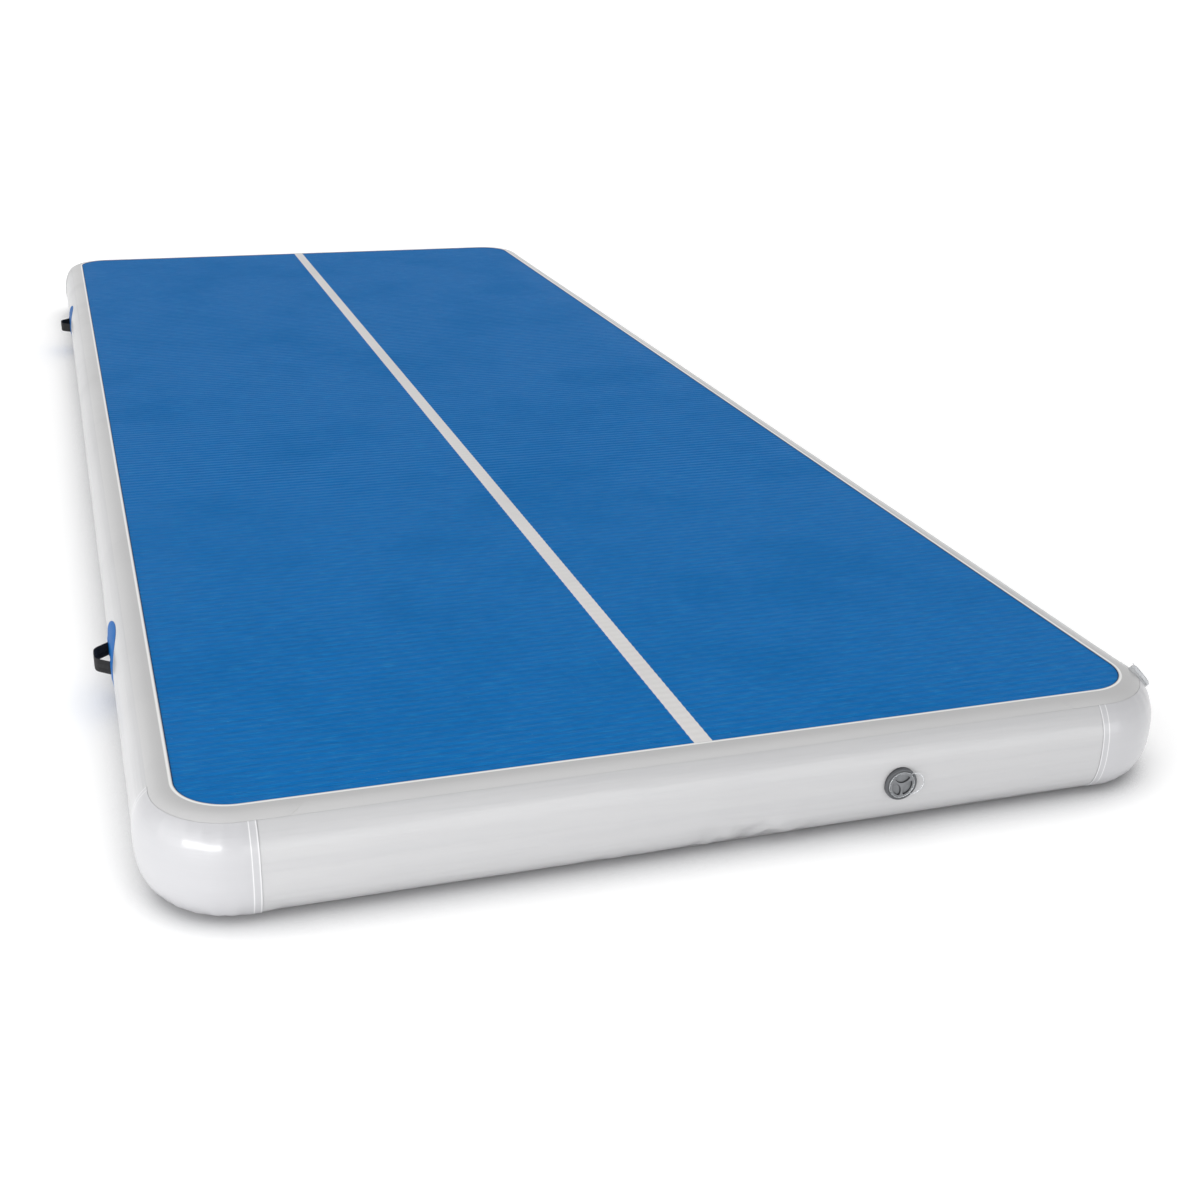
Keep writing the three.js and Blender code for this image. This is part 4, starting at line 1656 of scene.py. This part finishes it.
    def pocket_rim(self, bm: bmesh.types.BMesh, turn: float, reach: float) -> list[bmesh.types.BMEdge]:
        """Draws the lens-shaped edge of one of the cap's pockets.

        Args:
            bm: The mesh to draw in.
            turn: The pocket's direction about the axis, in radians.
            reach: How far the pocket goes from the axis.

        Returns:
            The edges, which close on themselves.
        """
        offset, radius = self.pocket_offset * reach, self.pocket_radius * reach
        meet = (offset**2 + reach**2 - radius**2) / (2 * offset)
        tip = Vector((meet, math.sqrt(reach**2 - meet**2), 0))
        half = math.atan2(tip.y, tip.x)
        start = math.atan2(tip.y, tip.x - offset)
        others = set(bm.verts)
        arcs = (((0, 0, 0), -half, 2 * half), ((offset, 0, 0), start, 2 * (math.pi - start)))
        for cent, first, angle in arcs:
            corner = bm.verts.new((tip.x, math.copysign(tip.y, first), 0))
            bmesh.ops.spin(bm, geom=[corner], cent=cent, axis=(0, 0, 1), angle=angle, steps=16)
        verts = [v for v in bm.verts if v not in others]
        bmesh.ops.remove_doubles(bm, verts=verts, dist=1e-6)
        verts = [v for v in bm.verts if v not in others]
        bmesh.ops.rotate(bm, verts=verts, cent=(0, 0, 0), matrix=Matrix.Rotation(turn, 3, "Z"))
        bmesh.ops.translate(bm, verts=verts, vec=(0, 0, self.cap_top))
        return list({e for v in verts for e in v.link_edges})

    def sink(self, bm: bmesh.types.BMesh, rim: list, steps: tuple) -> list[bmesh.types.BMFace]:
        """Takes a closed edge inwards or down in steps, and closes the end.

        Args:
            bm: The mesh that holds it.
            rim: The closed edge.
            steps: Pairs of a share to draw the edge in by and a fall.

        Returns:
            The walls' faces.
        """
        walls = []
        for share, fall in steps:
            made = bmesh.ops.extrude_edge_only(bm, edges=rim)["geom"]
            verts = [v for v in made if isinstance(v, bmesh.types.BMVert)]
            rim = [e for e in made if isinstance(e, bmesh.types.BMEdge)]
            walls += [f for f in made if isinstance(f, bmesh.types.BMFace)]
            middle = sum((v.co for v in verts), Vector()) / len(verts)
            bmesh.ops.scale(bm, verts=verts, vec=(share, share, 1), space=Matrix.Translation(-middle))
            bmesh.ops.translate(bm, verts=verts, vec=(0, 0, -fall))
        bmesh.ops.contextual_create(bm, geom=rim)
        return walls

    def cap(self) -> bpy.types.Object:
        """Builds the cap: three lens-shaped pockets in its face, over a plug.

        Returns:
            The cap.
        """
        disc = self.flange - self.rim_wall - 0.0007
        step = self.cap_top - 0.001 - self.clear
        face, base = disc - 0.0024, self.face_high + self.clear
        plug_low = self.face_high - self.plug
        bm = bmesh.new()
        bmesh.ops.create_circle(bm, segments=self.segments, radius=face - 0.0006)
        bmesh.ops.translate(bm, verts=bm.verts, vec=(0, 0, self.cap_top))
        rim = bm.edges[:]
        pockets = [self.pocket_rim(bm, turn, face - 0.003) for turn in THIRDS]
        bmesh.ops.triangle_fill(bm, edges=bm.edges[:], use_beauty=True, normal=(0, 0, 1))
        sides = [
            (face - 0.0002, self.cap_top - 0.0002), (face, self.cap_top - 0.0006), (face, step),
            (disc - 0.0003, step), (disc, step - 0.0003), (disc, base + 0.0003), (disc - 0.0003, base),
            (self.bore - 0.0016, base), (self.bore - 0.003, plug_low + 0.0008),
            (self.bore - 0.0038, plug_low),
        ]
        radius, height = face - 0.0006, self.cap_top
        steps = []
        for new_radius, new_height in sides:
            steps.append((new_radius / radius, height - new_height))
            radius, height = new_radius, new_height
        self.sink(bm, rim, steps)
        floor = min(0.0038, self.cap_top - base - 0.001)
        # Painted shade: the pocket walls take the darker plastic, the second material.
        for pocket in pockets:
            for wall in self.sink(bm, pocket, ((0.985, 0.0003), (0.97, floor - 0.0006), (0.96, 0.0003))):
                wall.material_index = 1
        bmesh.ops.recalc_face_normals(bm, faces=bm.faces)
        piece = self.finish("moulded_cap", bm, self.cap_finish, f"{self.name}_cap", "cap")
        piece.data.materials.append(POCKET_SHADE_PLASTIC.material())
        return piece

    def tether(self) -> list[bpy.types.Object]:
        """Builds the clear tether: a collar with half a loop, and the half that stays on the rim.

        Returns:
            The moving part and the fixed part.
        """
        high, low = self.cap_top, self.cap_top - 0.001
        disc = self.flange - self.rim_wall - 0.0007
        far = self.flange + 0.014
        centre = Vector((far - self.loop, 0, 0))
        strip, soft, thick = 0.0018, 0.0003, 0.001
        section = [
            (-strip, soft), (-strip + soft, 0), (-soft, 0), (0, soft),
            (0, thick - soft), (-soft, thick), (-strip + soft, thick), (-strip, thick - soft),
        ]
        collar = self.lathe([(disc + out, low + up) for out, up in section])
        reach = disc - 0.0009
        meet = (reach**2 - self.loop**2 - centre.x**2) / (2 * centre.x)
        start = math.acos(max(min(meet / self.loop, 1), -1))
        pieces = []
        rim = self.flange - self.rim_wall + 0.0012
        meet_rim = (rim**2 - self.loop**2 - centre.x**2) / (2 * centre.x)
        start_rim = math.acos(max(min(meet_rim / self.loop, 1), -1))
        for bm, first, last, part, node, body in (
            (collar, start, 0.0003 / self.loop, "tether_moving", "tether", f"{self.name}_tether"),
            (bmesh.new(), -0.0003 / self.loop, -start_rim, "tether_fixed", "tether_end", "mat"),
        ):
            turn = Matrix.Rotation(first, 3, "Z")
            corners = [Vector((self.loop + out, 0, low + up)) for out, up in section]
            ring = [bm.verts.new(centre + turn @ corner) for corner in corners]
            bm.faces.new(ring)
            edges = [bm.edges.get(pair) or bm.edges.new(pair) for pair in zip(ring, ring[1:] + ring[:1])]
            options = {"cent": centre, "axis": (0, 0, 1), "angle": last - first, "steps": 36}
            made = bmesh.ops.spin(bm, geom=ring + edges, **options)
            end = [e for e in made["geom_last"] if isinstance(e, bmesh.types.BMEdge)]
            bmesh.ops.contextual_create(bm, geom=end)
            pieces.append(self.finish(part, bm, CLEAR_STRAP, body, node))
        return pieces

    def push_button(self) -> bpy.types.Object:
        """Builds the button with its two locking lugs.

        Returns:
            The button.
        """
        inner, outer = self.stem_radius + self.clear, self.button
        bm = self.lathe([
            (0, -0.006), (inner, -0.006), (inner, -0.008), (outer - 0.0003, -0.008), (outer, -0.0077),
            (outer, -0.0048), (outer - 0.0003, -0.0042), (outer - 0.0009, -0.004), (0, -0.0043),
        ], 48)
        for turn in (0, 2 * RIGHT_ANGLE):
            low, high = (outer - 0.001, -0.0015, -0.0076), (outer + 0.0012, 0.0015, -0.005)
            self.add_block(bm, low, high, turn, 0.0003)
        return self.finish("turning_button", bm, GREY_PLASTIC, f"{self.name}_button", "button")

    def spring(self) -> bpy.types.Object:
        """Builds the spring as a coil.

        Returns:
            The spring.
        """
        wire, turns, steps = 0.0005, 5, 24
        radius = self.stem_radius + 0.0017
        low = -self.depth + 0.011
        high = (-0.008 if self.button else -0.0083) - self.clear - 0.0008
        bm = bmesh.new()
        bmesh.ops.create_circle(bm, cap_ends=True, segments=8, radius=wire)
        bmesh.ops.rotate(bm, verts=bm.verts, cent=(0, 0, 0), matrix=Matrix.Rotation(RIGHT_ANGLE, 3, "X"))
        bmesh.ops.translate(bm, verts=bm.verts, vec=(radius, 0, low))
        edges = bm.edges[:]
        step = Vector((0, 0, (high - low) / (turns * steps)))
        options = {"cent": (0, 0, 0), "axis": (0, 0, 1), "angle": 2 * math.pi * turns, "steps": turns * steps}
        made = bmesh.ops.spin(bm, geom=bm.verts[:] + edges, dvec=step, **options)
        end = [e for e in made["geom_last"] if isinstance(e, bmesh.types.BMEdge)]
        bmesh.ops.contextual_create(bm, geom=end)
        piece = self.finish("coil_spring", bm, SPRING_STEEL, "mat", "spring")
        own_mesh(piece)
        return piece

    def build(self) -> list[bpy.types.Object]:
        """Builds the valve's visible parts.

        Returns:
            The pieces.
        """
        made = [self.body(), self.cap(), *self.tether(), self.spring()]
        return made + [self.push_button()] if self.button else made


def facing(point: Vector, outward: Vector) -> Matrix:
    """Makes a frame that looks along a direction.

    Args:
        point: Its origin.
        outward: Its +Z.

    Returns:
        The matrix.
    """
    side = Vector((0, 0, 1)).cross(outward).normalized()
    up = outward.cross(side)
    turn = Matrix((side, up, outward)).transposed().to_4x4()
    return Matrix.Translation(point) @ turn


def relief_place(outline: MatOutline, turn: float, angle: float, lift: float) -> Matrix:
    """Finds the relief valve's seat on the front right corner.

    Args:
        outline: The mat's outline.
        turn: How far round the corner, in radians.
        angle: How far up the wall's curve, in degrees.
        lift: How far off the curve.

    Returns:
        The valve's frame.
    """
    corner = outline.corners()[3]
    side = corner.heading - turn + RIGHT_ANGLE
    out, up, tilt = outline.curve.point(angle, lift)
    reach = outline.corner_radius + out
    flat = Vector((math.cos(side), math.sin(side), 0))
    point = Vector((corner.x, corner.y, up)) + flat * reach
    return facing(point, flat * math.cos(tilt) + Vector((0, 0, math.sin(tilt))))


def dress_frame() -> None:
    """Gives each CAD node that stays its procedural finish."""
    finishes = {
        "relief_valve_saddle": PALE_RUBBER, "base_cloth": BASE_CLOTH, "drop_yarn": DROP_YARN,
        "valve_nut": DARK_PLASTIC, "valve_stem": GREY_PLASTIC,
        "valve_saddle": VALVE_RUBBER, "valve_diaphragm": VALVE_RUBBER,
    }
    for name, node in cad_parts.items():
        if node.hide_render:
            continue
        finish = next((f for key, f in finishes.items() if key in name), None)
        if finish is None:
            raise ValueError(f"no finish for {name}")
        node.data.materials.clear()
        node.data.materials.append(finish.material())
        log.info("frame piece %s takes %s", name, finish.name)


# The studio


@dataclass
class Studio:
    """Floor, soft lights and camera."""

    lens: float = 48.16
    shift: float = 0.0125
    camera_at: tuple = (-1.026, -4.807, 1.542)
    forward: tuple = (0.29223, 0.87641, -0.38275)
    up: tuple = (0.0978, 0.37074, 0.92357)

    def camera(self) -> None:
        """Makes the scene's camera."""
        data = bpy.data.cameras.new("camera")
        data.lens, data.sensor_width, data.shift_x = self.lens, 36, self.shift
        data.clip_start, data.clip_end = 0.05, 200
        back = -Vector(self.forward).normalized()
        side = Vector(self.up).cross(back).normalized()
        turn = Matrix((side, back.cross(side), back)).transposed().to_4x4()
        camera = bpy.data.objects.new("camera", data)
        bpy.context.scene.collection.objects.link(camera)
        camera.matrix_world = Matrix.Translation(self.camera_at) @ turn
        bpy.context.scene.camera = camera

    def floor(self) -> None:
        """Makes the plain pale floor, with a painted contact shadow near the mat."""
        bm = bmesh.new()
        bmesh.ops.create_grid(bm, x_segments=1, y_segments=1, size=60)
        mesh = bpy.data.meshes.new("floor")
        bm.to_mesh(mesh)
        bm.free()
        material = bpy.data.materials.new("floor")
        material.use_nodes = True
        shader = material.node_tree.nodes["Principled BSDF"]
        graph = Graph(material.node_tree)
        # Painted shadow: an occlusion node darkens the floor's colour and dims its glow near the mat.
        near = graph.put("AmbientOcclusion", {"Distance": 0.22}, samples=6)
        open_share = graph.span(near.outputs["AO"], 0.2, 0.9)
        graph.feed(shader.inputs["Base Color"], graph.blend(open_share, (0.5, 0.5, 0.51), (0.93, 0.93, 0.93)))
        graph.feed(shader.inputs["Emission Strength"], graph.math("MULTIPLY", open_share, 0.3))
        shader.inputs["Roughness"].default_value = 0.9
        shader.inputs["Specular IOR Level"].default_value = 0.1
        shader.inputs["Emission Color"].default_value = (1, 1, 1, 1)
        mesh.materials.append(material)
        floor = bpy.data.objects.new("floor", mesh)
        floor.location.z = -0.0005
        bpy.context.scene.collection.objects.link(floor)

    def light(self, name: str, at: tuple, aim: tuple, size: float, power: float) -> None:
        """Adds one large soft light.

        Args:
            name: Its name.
            at: Where it is.
            aim: The point that it faces.
            size: Its wider side.
            power: Its power in watts.
        """
        data = bpy.data.lights.new(name, "AREA")
        data.shape = "RECTANGLE"
        data.energy, data.size, data.size_y = power, size, size / 4
        lamp = bpy.data.objects.new(name, data)
        lamp.location = at
        lamp.rotation_mode = "QUATERNION"
        lamp.rotation_quaternion = (Vector(at) - Vector(aim)).to_track_quat("Z", "Y")
        bpy.context.scene.collection.objects.link(lamp)

    def glow(self, name: str, towards: tuple, power: float, spread: float) -> None:
        """Adds soft light that is even over the whole studio.

        Args:
            name: Its name.
            towards: The direction it comes from.
            power: Its strength in watts per square metre.
            spread: The angle it seems to fill, in degrees.
        """
        data = bpy.data.lights.new(name, "SUN")
        data.energy, data.angle = power, math.radians(spread)
        lamp = bpy.data.objects.new(name, data)
        lamp.rotation_mode = "QUATERNION"
        lamp.rotation_quaternion = Vector(towards).to_track_quat("Z", "Y")
        bpy.context.scene.collection.objects.link(lamp)

    def build(self) -> None:
        """Sets the studio up."""
        world = bpy.data.worlds.new("studio")
        world.use_nodes = True
        world.node_tree.nodes["Background"].inputs["Color"].default_value = (1, 1, 1, 1)
        sky = Graph(world.node_tree)
        height = sky.put("SeparateXYZ", {0: sky.put("TexCoord").outputs["Generated"]}).outputs[2]
        shine = sky.span(height, 0.2, 0.85, 1.0, 0.4)
        sky.feed(world.node_tree.nodes["Background"].inputs["Strength"], shine)
        bpy.context.scene.world = world
        bpy.context.scene.view_settings.view_transform = "Standard"
        self.camera()
        self.floor()
        self.glow("overhead", (0.0, 0.0, 1.0), 0.6, 70)
        self.glow("left", (-1.0, -0.15, 0.4), 0.68, 50)
        self.light("softbox", (-3.1, -4.9, 0.9), (-0.5, -2.5, 0.1), 2.6, 72)
        self.light("front_strip", (1.4, -6.2, 0.6), (0.2, -2.5, 0.1), 5.0, 34)


def main() -> None:
    """Builds the mat and its studio."""
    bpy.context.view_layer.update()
    Studio().build()
    outline = MatOutline()
    curve = outline.curve
    across = 0.368
    front = facing(Vector((across, -outline.half_length - curve.bulge, curve.middle)), Vector((0, -1, 0)))
    seat = relief_place(outline, math.radians(13), 50, curve.gap + 0.0009)
    inflation = AirValve(
        "inflation", front, flange=0.032, rim_wall=0.005, bore=0.018, depth=0.034, plug=0.007, button=0.007,
        loop=0.022, pierces={"front_end_wall": 0.018 + BARREL_HOLE},
    )
    relief_hole = 0.013 + BARREL_HOLE
    relief_holes = {
        "front_right_corner_wall": relief_hole, "front_right_corner_patch": relief_hole,
        "front_right_corner_tape": 0.025 + curve.gap,
    }
    relief = AirValve(
        "relief", seat, flange=0.025, rim_wall=0.004, bore=0.013, depth=0.026, plug=0.006, button=0.0,
        loop=0.015, pierces=relief_holes, body_finish=PALE_PLASTIC, cap_finish=MID_PLASTIC,
    )
    top = WearSheet(outline)
    top.build("ribbed_top", BLUE_TOP, "top_wear_sheet")
    top.stripe(0.035, 0.0003, 0.0005)
    under = WearSheet(outline, top=0.0024, thickness=0.0024, rib_depth=0.0002, rows_per_rib=3)
    under.build("ribbed_underside", BLUE_UNDERSIDE, "bottom_wear_sheet")
    straps = [
        CarryingStrap(outline, side, place, y)
        for side in ("left", "right")
        for place, y in (("front", -1.555), ("rear", 1.65))
    ]
    spots = [Vector((strap.sign * strap.face_x, strap.y, curve.middle)) for strap in straps]
    SideWalls(outline, [inflation, relief], strap_spots=spots).build()
    for strap in straps:
        strap.build()
    for valve in (inflation, relief):
        valve.build()
    dress_frame()


if __name__ == "__main__":
    main()
